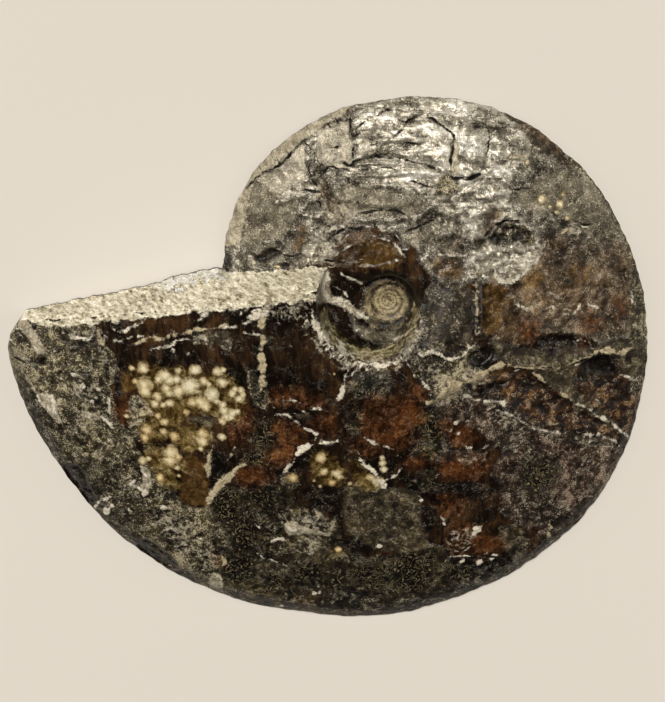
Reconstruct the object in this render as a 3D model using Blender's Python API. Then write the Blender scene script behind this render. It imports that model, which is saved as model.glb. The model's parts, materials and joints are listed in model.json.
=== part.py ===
"""Half of a large flat-sided ammonite, sawn along the plane it coils in, lying on the sawn face.

The shell coils clockwise about +Z, seen from above. The last whorl ends at the left in a straight and
nearly upright ledge of rock, beside the whorl before it. The inner coil lies in the umbilicus, a steep
hole about the axis. The flank carries the larger breaks, folds, ridges and sunken panels of the fossil.
"""

import math

import bmesh
import bpy
import numpy as np
from mathutils import Vector
from mathutils.geometry import delaunay_2d_cdt

MM = 0.001

# Driving dimensions, in millimetres. Places are in plan, seen from above, with the axis of coiling at
# 0, 0. A turn angle is in degrees: it is 0 and 360 at -X and runs clockwise.
VENTER_RADII = (80.5, 83.5, 86.5, 90, 92, 94.5, 96.5, 100.5, 105, 109, 114, 119, 126.5,
                134.5, 144, 154.5, 162.5, 169, 176, 180, 185.5, 189, 190, 192, 192)
MARGIN_RADII = (29, 22, 17, 16, 15.5, 15, 14.5, 15, 17, 21.5, 25.5, 30, 34, 38, 42)
THICKNESS_SHARE = 0.225
FLANK_STATIONS = (0, 0.06, 0.18, 0.3, 0.46, 0.62, 0.75, 0.89, 0.95, 1.0)
FLANK_SHARES = (0.94, 1.0, 0.95, 0.845, 0.71, 0.57, 0.45, 0.28, 0.19, 0.04)

# The ledge is a plane. Its foot starts at the outer corner and runs to the right and up.
LEDGE_CORNER = (-178.6, -7.6)
LEDGE_RISE = 0.202
LEDGE_LEAN = 0.2
LEDGE_SECTOR = 60.0
SPIRAL_START_TURN = 8.8
SPIRAL_END_TURN = 350.0
BROKEN_TIP = ((-189.2, -27), (-187.5, -20), (-184, -14.5), LEDGE_CORNER)

# The umbilicus: a steep wall below the margin, a shelf that falls to the inner coil, and the coil.
WALL_WIDTH = 4.0
SHELF_BRINK = (16.5, 16, 16, 16.5, 17, 17.5, 18, 18.5, 20, 22, 23, 21, 16.5)
COIL_RADIUS = 13.0
COIL_FLOOR = 10.5
COIL_RISE = 0.28
COIL_SHRINK = 0.62
COIL_SWELL = 1.7

# Ridges and creases: the line, the distance over which it dies away, and its height.
RIDGES = (
    (((18, -44), (27, -37), (35, -31), (48, -29), (62, -29), (80, -30), (92, -29), (104, -25.5),
      (118, -27), (125, -25)), 5, 2.0),
    (((35, -41), (45, -45), (57, -50), (68, -60), (80, -67), (103, -72), (117, -79)), 4, 1.2),
    (((-29, 23), (-22, 27), (-17, 31), (-10, 34), (-3, 34), (2, 31), (6, 25)), 3.5, 1.6),
    (((-30, 30), (-25, 36), (-20, 38.5), (-10, 39), (0, 37.5), (8, 40)), 3, -1.6),
    (((8, 40), (15, 46), (22, 52), (28, 58)), 3, -1.2),
    (((-34, 62), (-30, 55), (-27, 50), (-24, 44), (-22, 40)), 3.5, -2.2),
    (((-15, 57), (0, 59.5), (14, 57), (27, 60)), 4, 1.2),
    (((-15, 64), (0, 66.5), (14, 64), (27, 66)), 3.5, 1.0),
    (((42, 10), (42, 0), (42, -11)), 3, 1.0),
    (((-52, -82), (-48, -78), (-43, -70), (-36, -66), (-25, -64)), 3, 0.9),
    (((-14, -73), (-8, -82), (-2, -91), (7, -80)), 3.5, 0.9),
)

# Panels that stand up or lie deeper: the outline, the width of the edge, and the height.
PANELS = (
    (((-20, 90), (-18, 79), (-18, 68), (-32, 60), (-28, 50), (-10, 45), (12, 47), (30, 50), (52, 49),
      (70, 55), (78, 63), (60, 78), (40, 88), (20, 93), (0, 93)), 3, 1.2),
    (((29, 82), (30, 74), (28, 67), (34, 60), (42, 62), (47, 71), (43, 80), (36, 85)), 3, 1.6),
    (((16, -14), (15.5, 0), (18, 9), (25, 12.5), (34, 11), (40, 6), (40, -8), (36, -15), (28, -19),
      (20, -18)), 3.5, 1.8),
    (((46, -37), (68, -34), (80, -43), (100, -57), (112, -68), (90, -63), (72, -57), (58, -48)), 3, -2.4),
    (((92, -31), (103, -28), (110, -29), (116, -45), (116, -60), (106, -56), (96, -46)), 3, -2.2),
    (((68, -15), (93, -15), (95, -21), (84, -23), (72, -22)), 2.5, -1.8),
    (((-18, 20), (-14, 28), (-8, 31), (-3, 31), (2, 27), (4, 22), (-4, 18), (-12, 17.5)), 2.5, -1.4),
    (((-64, 21), (-60, 29), (-53, 29), (-50, 22), (-56, 18)), 3, -2.0),
    (((-52, -111), (-45, -118), (-38, -117), (-27, -121), (-27, -110), (-40, -107)), 2.5, 1.3),
    (((-178, -32), (-170, -25), (-163, -28), (-166, -34), (-174, -37)), 3, -1.8),
)

PIT_CENTRE = (58, 26)
PIT_RADII = (16.5, 14)
PIT_TILT = 20.0
PIT_DEPTH = 5.0
PIT_EDGE = 3.5
PIT_LIP = 1.2

EDGE_THICKNESS = 1.5
RELIEF_FADE = 5.0
SPACING = 4.5
FINE_SPACING = 2.4
FINE_RADIUS = 36.0

# Where the break lines run: x along the ledge, and turn angles round the umbilicus, coil and rim.
LEDGE_TOP_SPAN = (-176, -35)
LEDGE_FOOT_SPAN = (-78, -36)
MARGIN_SPAN = (34, 390)
WALL_FOOT_SPAN = (34, 398)
SUTURE_SPAN = (360, 1080)
COIL_CREST_SPAN = (540, 1250)
RIM_SPAN = (14, 346)
RIM_SHARE = 0.05
RING_STEP = 10.0

VENTER_TURNS = 15 * np.arange(len(VENTER_RADII))
MARGIN_TURNS = 30 * np.arange(len(MARGIN_RADII))
SHELF_ANGLES = 30 * np.arange(len(SHELF_BRINK))


def smooth(stations, values, at):
    """Reads a smooth curve through the given values."""
    stations = np.asarray(stations, float)
    values = np.asarray(values, float)
    slopes = np.gradient(values, stations)
    at = np.clip(at, stations[0], stations[-1])
    left = np.clip(np.searchsorted(stations, at, side="right") - 1, 0, len(stations) - 2)
    step = stations[left + 1] - stations[left]
    t = (at - stations[left]) / step
    start = (2 * t**3 - 3 * t**2 + 1) * values[left] + (t**3 - 2 * t**2 + t) * step * slopes[left]
    end = (3 * t**2 - 2 * t**3) * values[left + 1] + (t**3 - t**2) * step * slopes[left + 1]
    return start + end


def ease(t):
    """Rises smoothly from 0 to 1."""
    t = np.clip(t, 0, 1)
    return t * t * (3 - 2 * t)


def distance_to_line(x, y, line):
    """Distance in plan from each point to a run of straight stretches."""
    nearest = np.full(np.shape(x), np.inf)
    for (ax, ay), (bx, by) in zip(line[:-1], line[1:]):
        dx = bx - ax
        dy = by - ay
        t = np.clip(((x - ax) * dx + (y - ay) * dy) / (dx * dx + dy * dy), 0, 1)
        nearest = np.minimum(nearest, np.hypot(x - ax - t * dx, y - ay - t * dy))
    return nearest


def depth_inside(x, y, outline):
    """Distance in plan from the outline, positive inside it and negative outside."""
    closed = list(outline) + [outline[0]]
    inside = np.zeros(np.shape(x), bool)
    for (ax, ay), (bx, by) in zip(closed[:-1], closed[1:]):
        if ay == by:
            continue
        crosses = (ay > y) != (by > y)
        inside ^= crosses & (x < ax + (y - ay) * (bx - ax) / (by - ay))
    return np.where(inside, 1, -1) * distance_to_line(x, y, closed)


def polar(turn, radius):
    angle = math.radians(turn)
    return (-radius * math.cos(angle), radius * math.sin(angle))


def venter(turn):
    return smooth(VENTER_TURNS, VENTER_RADII, turn)


def margin(turn):
    return smooth(MARGIN_TURNS, MARGIN_RADII, turn)


def coil(radius, turn):
    """The inner whorls: a small log spiral of swollen bands on a shallow bowl."""
    whorls = np.log(np.maximum(radius, 1.5) / COIL_RADIUS) / math.log(COIL_SHRINK) + turn / 360
    band = np.sin(math.pi * (whorls % 1.0))
    return COIL_FLOOR + COIL_RISE * radius + COIL_SWELL * np.sqrt(band)


def whorl(radius, turn, angle):
    """Height of a whorl from the inner coil out to the venter.

    The turn angle sets the whorl's size, and the plain angle sets where on the shelf and coil it is.
    """
    outer = venter(turn)
    inner = margin(turn)
    station = (radius - inner) / (outer - inner)
    thickness = THICKNESS_SHARE * outer
    flank = thickness * smooth(FLANK_STATIONS, FLANK_SHARES, station)
    foot = inner - WALL_WIDTH
    brink = smooth(SHELF_ANGLES, SHELF_BRINK, angle)
    coil_edge = COIL_FLOOR + COIL_RISE * COIL_RADIUS
    shelf_share = np.clip((radius - COIL_RADIUS) / np.maximum(foot - COIL_RADIUS, 1), 0, 1)
    shelf = coil_edge + (brink - coil_edge) * shelf_share
    floor = np.where(radius < COIL_RADIUS, coil(radius, angle), shelf)
    wall = floor + (flank - floor) * np.clip((radius - foot) / WALL_WIDTH, 0, 1) ** 1.5
    return np.where(radius < inner, wall, flank)


def ledge_height(x, y):
    """Height of the ledge's plane above a point in plan."""
    foot_y = LEDGE_CORNER[1] + LEDGE_RISE * (x - LEDGE_CORNER[0])
    return (foot_y - y) / LEDGE_LEAN


def whorl_before(x, y):
    """Height of the whorl that the ledge stands beside, at the start of the spiral."""
    angle = np.degrees(np.arctan2(y, -x)) % 360
    radius = np.hypot(x, y)
    return np.where(radius > venter(angle), 0, whorl(radius, angle, angle))


def last_whorl(x, y):
    """Height of the last whorl, carried on past its end until the ledge cuts it off."""
    angle = np.degrees(np.arctan2(y, -x)) % 360
    turn = np.where(angle < LEDGE_SECTOR, angle + 360, angle)
    return whorl(np.hypot(x, y), turn, angle)


def beside_ledge(angle):
    return (angle < LEDGE_SECTOR) | (angle > 360 - LEDGE_SECTOR)


def form(x, y):
    """The whole form without its relief: the last whorl, the ledge and the whorl before it."""
    angle = np.degrees(np.arctan2(y, -x)) % 360
    cut_off = np.minimum(last_whorl(x, y), ledge_height(x, y))
    stepped = np.where(angle < 180, np.maximum(whorl_before(x, y), cut_off), cut_off)
    return np.where(beside_ledge(angle), stepped, whorl(np.hypot(x, y), angle, angle))


def pit(x, y):
    """An oval hollow, steep on its upper left side, with a low lip on the lower right."""
    angle = math.radians(PIT_TILT)
    u = (x - PIT_CENTRE[0]) * math.cos(angle) + (y - PIT_CENTRE[1]) * math.sin(angle)
    v = (y - PIT_CENTRE[1]) * math.cos(angle) - (x - PIT_CENTRE[0]) * math.sin(angle)
    reach = np.hypot(u / PIT_RADII[0], v / PIT_RADII[1])
    width = min(PIT_RADII)
    upper_left = ease(0.5 + (v - u) / (2 * width))
    bowl = ease((1 - reach) * width / (PIT_EDGE * (2.2 - 1.4 * upper_left)))
    lip = ease(1 - np.abs(reach - 1) * width / PIT_EDGE) * (1 - upper_left)
    return PIT_LIP * lip - PIT_DEPTH * bowl * (0.6 + 0.4 * upper_left)


def relief(x, y):
    """Ridges, creases, panels and the pit, as heights on top of the form."""
    height = pit(x, y)
    for line, reach, rise in RIDGES:
        height = height + rise * ease(1 - distance_to_line(x, y, line) / reach)
    for outline, edge, rise in PANELS:
        height = height + rise * ease(depth_inside(x, y, outline) / edge)
    return height


def surface(x, y):
    """Height of the finished face. Relief fades out towards the sawn edge and on the ledge."""
    base = form(x, y)
    angle = np.degrees(np.arctan2(y, -x)) % 360
    off_ledge = ease(np.abs(base - ledge_height(x, y)) / RELIEF_FADE)
    room = np.where(beside_ledge(angle), off_ledge, 1) * ease(base / RELIEF_FADE)
    return np.maximum(base + relief(x, y) * room, EDGE_THICKNESS)


def spaced(points, spacing):
    """Points at equal steps along a run of straight stretches, with both ends."""
    points = np.asarray(points, float)
    along = np.concatenate([[0], np.cumsum(np.hypot(*np.diff(points, axis=0).T))])
    count = max(int(round(along[-1] / spacing)), 1)
    stops = np.linspace(0, along[-1], count + 1)
    return list(zip(np.interp(stops, along, points[:, 0]), np.interp(stops, along, points[:, 1])))


def sawn_outline():
    """The outline of the sawn face: the spiral venter, the broken tip and the ledge's foot."""
    turns = np.linspace(SPIRAL_START_TURN, SPIRAL_END_TURN, 400)
    spiral = spaced([polar(t, float(venter(t))) for t in turns], SPACING)
    tip = spaced([spiral[-1], *BROKEN_TIP], SPACING)
    foot = spaced([tip[-1], spiral[0]], SPACING)
    return spiral + tip[1:] + foot[1:-1]


def ledge_line(height_of, start_x, end_x):
    """Where the ledge's plane meets a surface, as points in plan."""
    xs = np.linspace(start_x, end_x, int((end_x - start_x) / SPACING))
    foot = LEDGE_CORNER[1] + LEDGE_RISE * (xs - LEDGE_CORNER[0])
    ys = foot - 1.0
    for _ in range(30):
        ys = foot - LEDGE_LEAN * height_of(xs, ys)
    return list(zip(xs, ys))


def ring(radius_of, first, last):
    return [polar(t, float(radius_of(t))) for t in np.arange(first, last, RING_STEP)]


def suture_radius(turn):
    """Where one inner whorl meets the next, opening out over three turns."""
    return COIL_RADIUS * COIL_SHRINK ** (3 - turn / 360)


def break_lines():
    """Lines in plan along which the surface bends sharply."""
    lines = [
        ledge_line(last_whorl, *LEDGE_TOP_SPAN),
        ledge_line(whorl_before, *LEDGE_FOOT_SPAN),
        ring(margin, *MARGIN_SPAN),
        ring(lambda t: margin(t) - WALL_WIDTH, *WALL_FOOT_SPAN),
        ring(suture_radius, *SUTURE_SPAN),
        ring(lambda t: suture_radius(t - 180), *COIL_CREST_SPAN),
        spaced([polar(t, float(venter(t)) - RIM_SHARE * (float(venter(t)) - float(margin(t))))
                for t in np.linspace(*RIM_SPAN, 200)], SPACING),
    ]
    for line, _, _ in RIDGES:
        lines.append(spaced(line, SPACING))
    for outline, edge, _ in PANELS:
        centre = np.mean(outline, axis=0)
        reach = np.mean(np.hypot(*(np.asarray(outline) - centre).T))
        for shrink in (1, 1 - edge / reach):
            corners = [tuple(centre + (np.asarray(p) - centre) * shrink) for p in outline]
            lines.append(spaced(corners + [corners[0]], SPACING))
    return lines


def lattice(spacing, outline, lines, near, far):
    """Evenly spread points between two radii, inside the outline and clear of the break lines."""
    row_height = spacing * math.sqrt(3) / 2
    low_x, low_y = np.min(outline, axis=0)
    high_x, high_y = np.max(outline, axis=0)
    points = []
    for row, y in enumerate(np.arange(low_y, high_y, row_height)):
        start = low_x + (row % 2) * spacing / 2
        points += [(x, y) for x in np.arange(start, high_x, spacing)]
    x, y = np.asarray(points).T
    radius = np.hypot(x, y)
    keep = (radius >= near) & (radius < far) & (depth_inside(x, y, outline) > spacing * 0.5)
    for line in lines:
        keep &= distance_to_line(x, y, line) > spacing * 0.5
    return list(zip(x[keep], y[keep]))


def triangulate(outline, lines, loose):
    """Joins all the points in plan into triangles that keep the outline and the break lines."""
    points = [Vector(p) for p in outline]
    edges = [(i, (i + 1) % len(outline)) for i in range(len(outline))]
    for line in lines:
        first = len(points)
        points += [Vector(p) for p in line]
        edges += [(i, i + 1) for i in range(first, len(points) - 1)]
    points += [Vector(p) for p in loose]
    found = delaunay_2d_cdt(points, edges, [], 1, 1e-4)
    return np.array([tuple(v) for v in found[0]]), found[2]


def build_fossil():
    outline = sawn_outline()
    lines = break_lines()
    loose = lattice(FINE_SPACING, outline, lines, 0, FINE_RADIUS)
    loose += lattice(SPACING, outline, lines, FINE_RADIUS, max(VENTER_RADII))
    plan, faces = triangulate(outline, lines, loose)
    heights = surface(plan[:, 0], plan[:, 1])
    bm = bmesh.new()
    verts = [bm.verts.new((x * MM, y * MM, z * MM)) for (x, y), z in zip(plan, heights)]
    for face in faces:
        bm.faces.new([verts[i] for i in face])
    edge = [e for e in bm.edges if e.is_boundary]
    for e in edge:
        for v in e.verts:
            v.co.z = EDGE_THICKNESS * MM
    skirt = bmesh.ops.extrude_edge_only(bm, edges=edge)["geom"]
    for v in (g for g in skirt if isinstance(g, bmesh.types.BMVert)):
        v.co.z = 0
    bmesh.ops.edgeloop_fill(bm, edges=[e for e in bm.edges if e.is_boundary])
    bmesh.ops.recalc_face_normals(bm, faces=bm.faces)
    mesh = bpy.data.meshes.new("ammonite_half")
    bm.to_mesh(mesh)
    bm.free()
    mesh.shade_smooth()
    mesh.set_sharp_from_angle(angle=math.radians(40))
    return bpy.data.objects.new("ammonite_half", mesh)


def fossil_stone():
    """Dark brown mineralised shell, fairly glossy where it is polished."""
    material = bpy.data.materials.new("fossil_stone")
    material.use_nodes = True
    shader = material.node_tree.nodes["Principled BSDF"]
    shader.inputs["Base Color"].default_value = (0.055, 0.035, 0.022, 1)
    shader.inputs["Roughness"].default_value = 0.35
    shader.inputs["Metallic"].default_value = 0.0
    return material


def main():
    for old in list(bpy.data.objects):
        bpy.data.objects.remove(old, do_unlink=True)
    fossil = build_fossil()
    fossil.data.materials.append(fossil_stone())
    parts = bpy.data.collections.new("ammonite_fossil_half")
    bpy.context.scene.collection.children.link(parts)
    parts.objects.link(fossil)


main()
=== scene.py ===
"""Looks for the sawn half of a large ammonite, lying on its sawn face and seen from above.

The solid is replaced by one fine closed mesh with the same form: a height for each place in plan. What
the shell, calcite, rock, veins and cracks cover is given as areas and lines in millimetres in plan,
and stored on the mesh as distances from their edges. The materials turn those distances into finishes.
"""

import math
from functools import partial
from types import SimpleNamespace

import bmesh
import bpy
import numpy as np
from mathutils import Matrix, Vector
from mathutils.geometry import delaunay_2d_cdt
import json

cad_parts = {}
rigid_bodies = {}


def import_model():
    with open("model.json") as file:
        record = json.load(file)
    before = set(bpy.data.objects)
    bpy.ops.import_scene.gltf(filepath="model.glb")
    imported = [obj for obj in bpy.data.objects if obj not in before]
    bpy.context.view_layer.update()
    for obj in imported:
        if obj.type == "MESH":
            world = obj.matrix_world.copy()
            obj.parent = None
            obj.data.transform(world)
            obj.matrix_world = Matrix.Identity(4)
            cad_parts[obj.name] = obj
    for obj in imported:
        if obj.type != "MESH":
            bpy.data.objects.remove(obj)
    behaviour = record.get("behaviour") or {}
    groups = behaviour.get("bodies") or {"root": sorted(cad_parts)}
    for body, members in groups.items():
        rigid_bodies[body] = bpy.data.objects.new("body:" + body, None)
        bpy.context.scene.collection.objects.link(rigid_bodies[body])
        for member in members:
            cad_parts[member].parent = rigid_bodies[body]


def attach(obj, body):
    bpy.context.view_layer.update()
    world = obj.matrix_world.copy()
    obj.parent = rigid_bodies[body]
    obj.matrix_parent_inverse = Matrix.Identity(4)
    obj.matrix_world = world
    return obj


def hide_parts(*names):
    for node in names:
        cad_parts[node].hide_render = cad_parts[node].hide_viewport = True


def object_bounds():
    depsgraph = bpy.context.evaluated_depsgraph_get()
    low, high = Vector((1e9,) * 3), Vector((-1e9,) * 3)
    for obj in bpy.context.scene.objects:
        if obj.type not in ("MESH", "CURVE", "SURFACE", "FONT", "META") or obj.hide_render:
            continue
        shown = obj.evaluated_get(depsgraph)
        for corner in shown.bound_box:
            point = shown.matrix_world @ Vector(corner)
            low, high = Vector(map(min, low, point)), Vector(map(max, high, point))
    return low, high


MM = 0.001
# Depths inside areas and lines are kept only this far from their edges (mm).
FAR = 12.0
LINE_REACH = 6.0
# Noise: how often it repeats, how far each finer layer is shifted, and the height that fills -1 to 1.
NOISE_CELLS = 256
OCTAVE_SHIFT = (17.3, 9.1)
NOISE_HEIGHT = 1.6

# ---------------- the form, as in the solid (mm, degrees)
VENTER_RADII = (80.5, 83.5, 86.5, 90, 92, 94.5, 96.5, 100.5, 105, 109, 114, 119, 126.5,
                134.5, 144, 154.5, 162.5, 169, 176, 180, 185.5, 189, 190, 192, 192)
MARGIN_RADII = (29, 22, 17, 16, 15.5, 15, 14.5, 15, 17, 21.5, 25.5, 30, 34, 38, 42)
THICKNESS_SHARE = 0.225
FLANK_STATIONS = (0, 0.06, 0.18, 0.3, 0.46, 0.62, 0.75, 0.89, 0.95, 1.0)
FLANK_SHARES = (0.94, 1.0, 0.95, 0.845, 0.71, 0.57, 0.45, 0.28, 0.19, 0.04)
LEDGE_CORNER = (-178.6, -7.6)
LEDGE_RISE = 0.202
LEDGE_LEAN = 0.2
LEDGE_SECTOR = 60.0
LEDGE_END_X = -24.0
SPIRAL_START_TURN = 8.8
SPIRAL_END_TURN = 350.0
BROKEN_TIP = ((-189.2, -27), (-187.5, -20), (-184, -14.5), LEDGE_CORNER)
WALL_WIDTH = 4.0
SHELF_BRINK = (16.5, 16, 16, 16.5, 17, 17.5, 18, 18.5, 20, 22, 23, 21, 16.5)
COIL_RADIUS = 13.0
COIL_FLOOR = 10.5
COIL_RISE = 0.28
COIL_SHRINK = 0.62
COIL_SWELL = 0.5
COIL_CORE = 1.5
EDGE_THICKNESS = 1.5
RELIEF_FADE = 5.0
EDGE_FADE = 2.5
PIT_CENTRE = (58, 26)
PIT_RADII = (16.5, 14)
PIT_TILT = 20.0
PIT_DEPTH = 5.0
PIT_EDGE = 3.5
PIT_LIP = 1.2
PIT_RAG = 0.22
PIT_WRINKLE = 0.35
# How much wider the pit's edge is on the lower right than on the upper left, and how deep it is there.
PIT_SLACK = 2.2
PIT_STEEPENING = 1.4
PIT_SHALLOW_SHARE = 0.6
# Chips along the venter: height, width, seed and octaves of each size; then how much is worn off.
RIM_CHIPS = ((0.5, 9, 4, 5), (0.4, 2.2, 5, 3))
RIM_WEAR = 0.3
OUTLINE_STEPS = 900

# In the tables of ridges, panels, finishes, veins and cracks, a line or outline is a run of x, y, x, y ...
# Ridges and creases: the line, the distance over which it dies away, and its height.
RIDGES = (
    ((18, -44, 27, -38, 36, -35, 44, -32, 51, -28, 61, -29, 77, -31, 86, -31,
      96, -27.5, 104, -25.5, 114, -27, 125, -25), 4.5, 2),
    ((35, -41, 45, -45, 57, -50, 68, -60, 80, -66, 103, -72, 117, -79), 4, 1.2),
    ((70, -33, 79, -41, 87, -47, 101, -57, 116, -67, 123, -75), 2.2, 1.1),
    ((-29, 23, -22, 27, -17, 31, -10, 34, -3, 34, 2, 31, 6, 25), 4, 1.1),
    ((-30, 30, -25, 36, -20, 38.5, -10, 39, 0, 37.5, 8, 40), 3, -1.4),
    ((-20, 40.5, 0, 42, 12, 43, 20, 48, 28, 54, 34, 59, 41, 61), 2.4, 1.2),
    ((24, 47, 30, 53, 36, 58, 44, 60), 2.2, -1),
    ((-34, 62, -30, 55, -27, 50, -24, 44, -22, 40), 3.5, -2.2),
    ((-17, 66.5, -10, 68, -2, 68.5, 6, 67.5, 16, 64.5, 23, 64), 1.8, 0.9),
    ((-16, 68.5, -8, 70, 0, 70.2, 5, 69, 12, 67, 21, 66), 1.5, -1),
    ((-16, 62.5, -6, 62, 4, 63.5, 14, 64, 22, 62), 2, 1),
    ((-18, 60, -8, 60.3, 4, 61.5, 14, 60.5, 22, 58), 1.6, -0.9),
    ((-14, 71.8, -4, 73, 6, 72, 16, 70, 25, 69), 2, 0.9),
    ((2, 76, 10, 76.5, 16, 76), 1.5, -0.8),
    ((-2, 78, 8, 79.5, 18, 79, 26, 76), 2.2, 0.7),
    ((-15, 57, 0, 58, 12, 56.5, 20, 53), 2.2, 0.7),
    ((-14, 50, 0, 48, 14, 50), 2.2, 0.6),
    ((-14, 46, -6, 46.8, 2, 46.6), 1.6, -0.7),
    ((8, 84, 12, 78, 14, 70), 4, 0.9),
    ((20, 86, 23, 78, 24, 70), 3, 0.7),
    ((34, 88, 36, 80, 33, 72), 3, 0.9),
    ((40, 80, 41, 74, 39, 70), 3, 1),
    ((50, 84, 53, 76, 50, 68), 3.5, 1),
    ((42, 12, 42, 0, 42, -11), 2.5, 0.9),
    ((-52, -82, -48, -78, -43, -70, -36, -66, -25, -64), 3, 0.9),
    ((-15, -72, -9, -80, -3, -88, -1, -92), 3, 0.9),
    ((-1, -86, 4, -83, 8, -79), 2, 0.5),
    ((-40, 56, -38, 66, -39, 77), 2.5, -0.8),
    ((-55, 48, -48, 50.5, -42, 52, -38, 50), 2.4, 1),
    ((-46, 44, -40, 43.5, -33, 43), 2.2, 0.9),
    ((-62, 29, -57, 29, -52, 25, -49, 23), 1.8, 0.9),
    ((-28, 40, -20, 43, -8, 42), 2.5, 0.9),
    ((-30, 24, -24, 27, -18, 30), 2, 1),
    ((12, 71, 20, 74, 26, 72), 2.2, -0.7),
    ((30, 44, 40, 50, 50, 53), 3, 1),
    ((28, 38, 38, 43, 47, 47), 3, 0.9),
    ((8, 28, 20, 33, 32, 36), 3, 0.8),
    ((-180, -11, -176, -17, -170, -25), 3.5, 1.2),
    ((-36, 0, -34, -5, -30, -11), 1.8, 0.6),
)

# Panels that stand up or lie deeper: the outline, the width of the edge, and the height.
PANELS = (
    ((-20, 90, -18, 79, -18, 68, -32, 60, -28, 50, -10, 45, 12, 47, 30, 50, 52, 49,
      70, 55, 78, 63, 60, 78, 40, 88, 20, 93, 0, 93), 2.5, 1.1),
    ((30.5, 82, 31, 76, 29, 68, 31, 62, 36, 61, 42, 62.5, 47, 71, 43, 82, 36, 88),
     1.2, 1.8),
    ((17, -12, 16.5, 0, 19, 8, 26, 12.5, 34, 11.5, 39, 5, 39.5, -6, 36.5, -16, 30, -21,
      21, -18), 8, 2.4),
    ((46, -37, 62, -34, 72, -35, 86, -47, 100, -57, 112, -68, 92, -64, 75, -60,
      58, -47), 3.5, -2.4),
    ((94, -30, 103, -27, 110, -28, 114, -36, 117, -50, 114, -58, 104, -52, 97, -44),
     3, -2.2),
    ((70, -15, 93, -15.5, 94, -22, 84, -23, 74, -22), 3, -1.4),
    ((-18, 20, -14, 28, -8, 31, -3, 31, 2, 27, 4, 22, -4, 18, -12, 17.5), 3, -0.9),
    ((-67, 19, -63, 24, -58, 28, -50, 25, -53, 21, -60, 17), 3.2, -1.6),
    ((-53, -112, -45, -108, -27, -108, -27, -121, -38, -120, -50, -121.5), 3, 1.3),
    ((-178, -33, -174, -30, -169, -27, -167, -30, -170, -33.5, -175, -35), 1.5, -1.8),
    ((35, -22.5, 40, -20, 50, -17, 53, -24, 47, -30, 43, -31, 38, -27), 2.5, -1.4),
    ((-33, 83, -20, 88, -18, 80, -17, 75, -18, 65, -28, 64, -34, 68, -35, 77), 1, 0.7),
    ((-82, 24, -72, 26, -69, 40, -66, 56, -62, 60.5, -56, 63, -50, 68, -43, 76,
      -40, 77.5, -38, 86, -70, 76, -90, 40), 0.8, 0.8),
    ((-1, 82, 1, 80, 3, 80.5, 5, 83, 7, 85, 4, 87, 0, 86), 0.7, 0.6),
    ((-46, 4, -43, 5, -40, 3, -40, -3, -41, -5, -47, -3), 0.8, -0.5),
    ((21, 53, 28, 52, 33, 57, 31, 61, 27, 64, 22, 60), 1.5, -1),
    ((-162, -86, -152, -88, -150, -98, -146, -110, -158, -112, -170, -95), 2, -1),
    ((-125, -126, -114, -133, -108, -140, -106, -146, -118, -150, -132, -138), 2, -1),
    ((43, 44, 52, 46.5, 57, 46, 54, 41, 48, 38, 44, 33, 41, 35), 1.2, -0.8),
)

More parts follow.
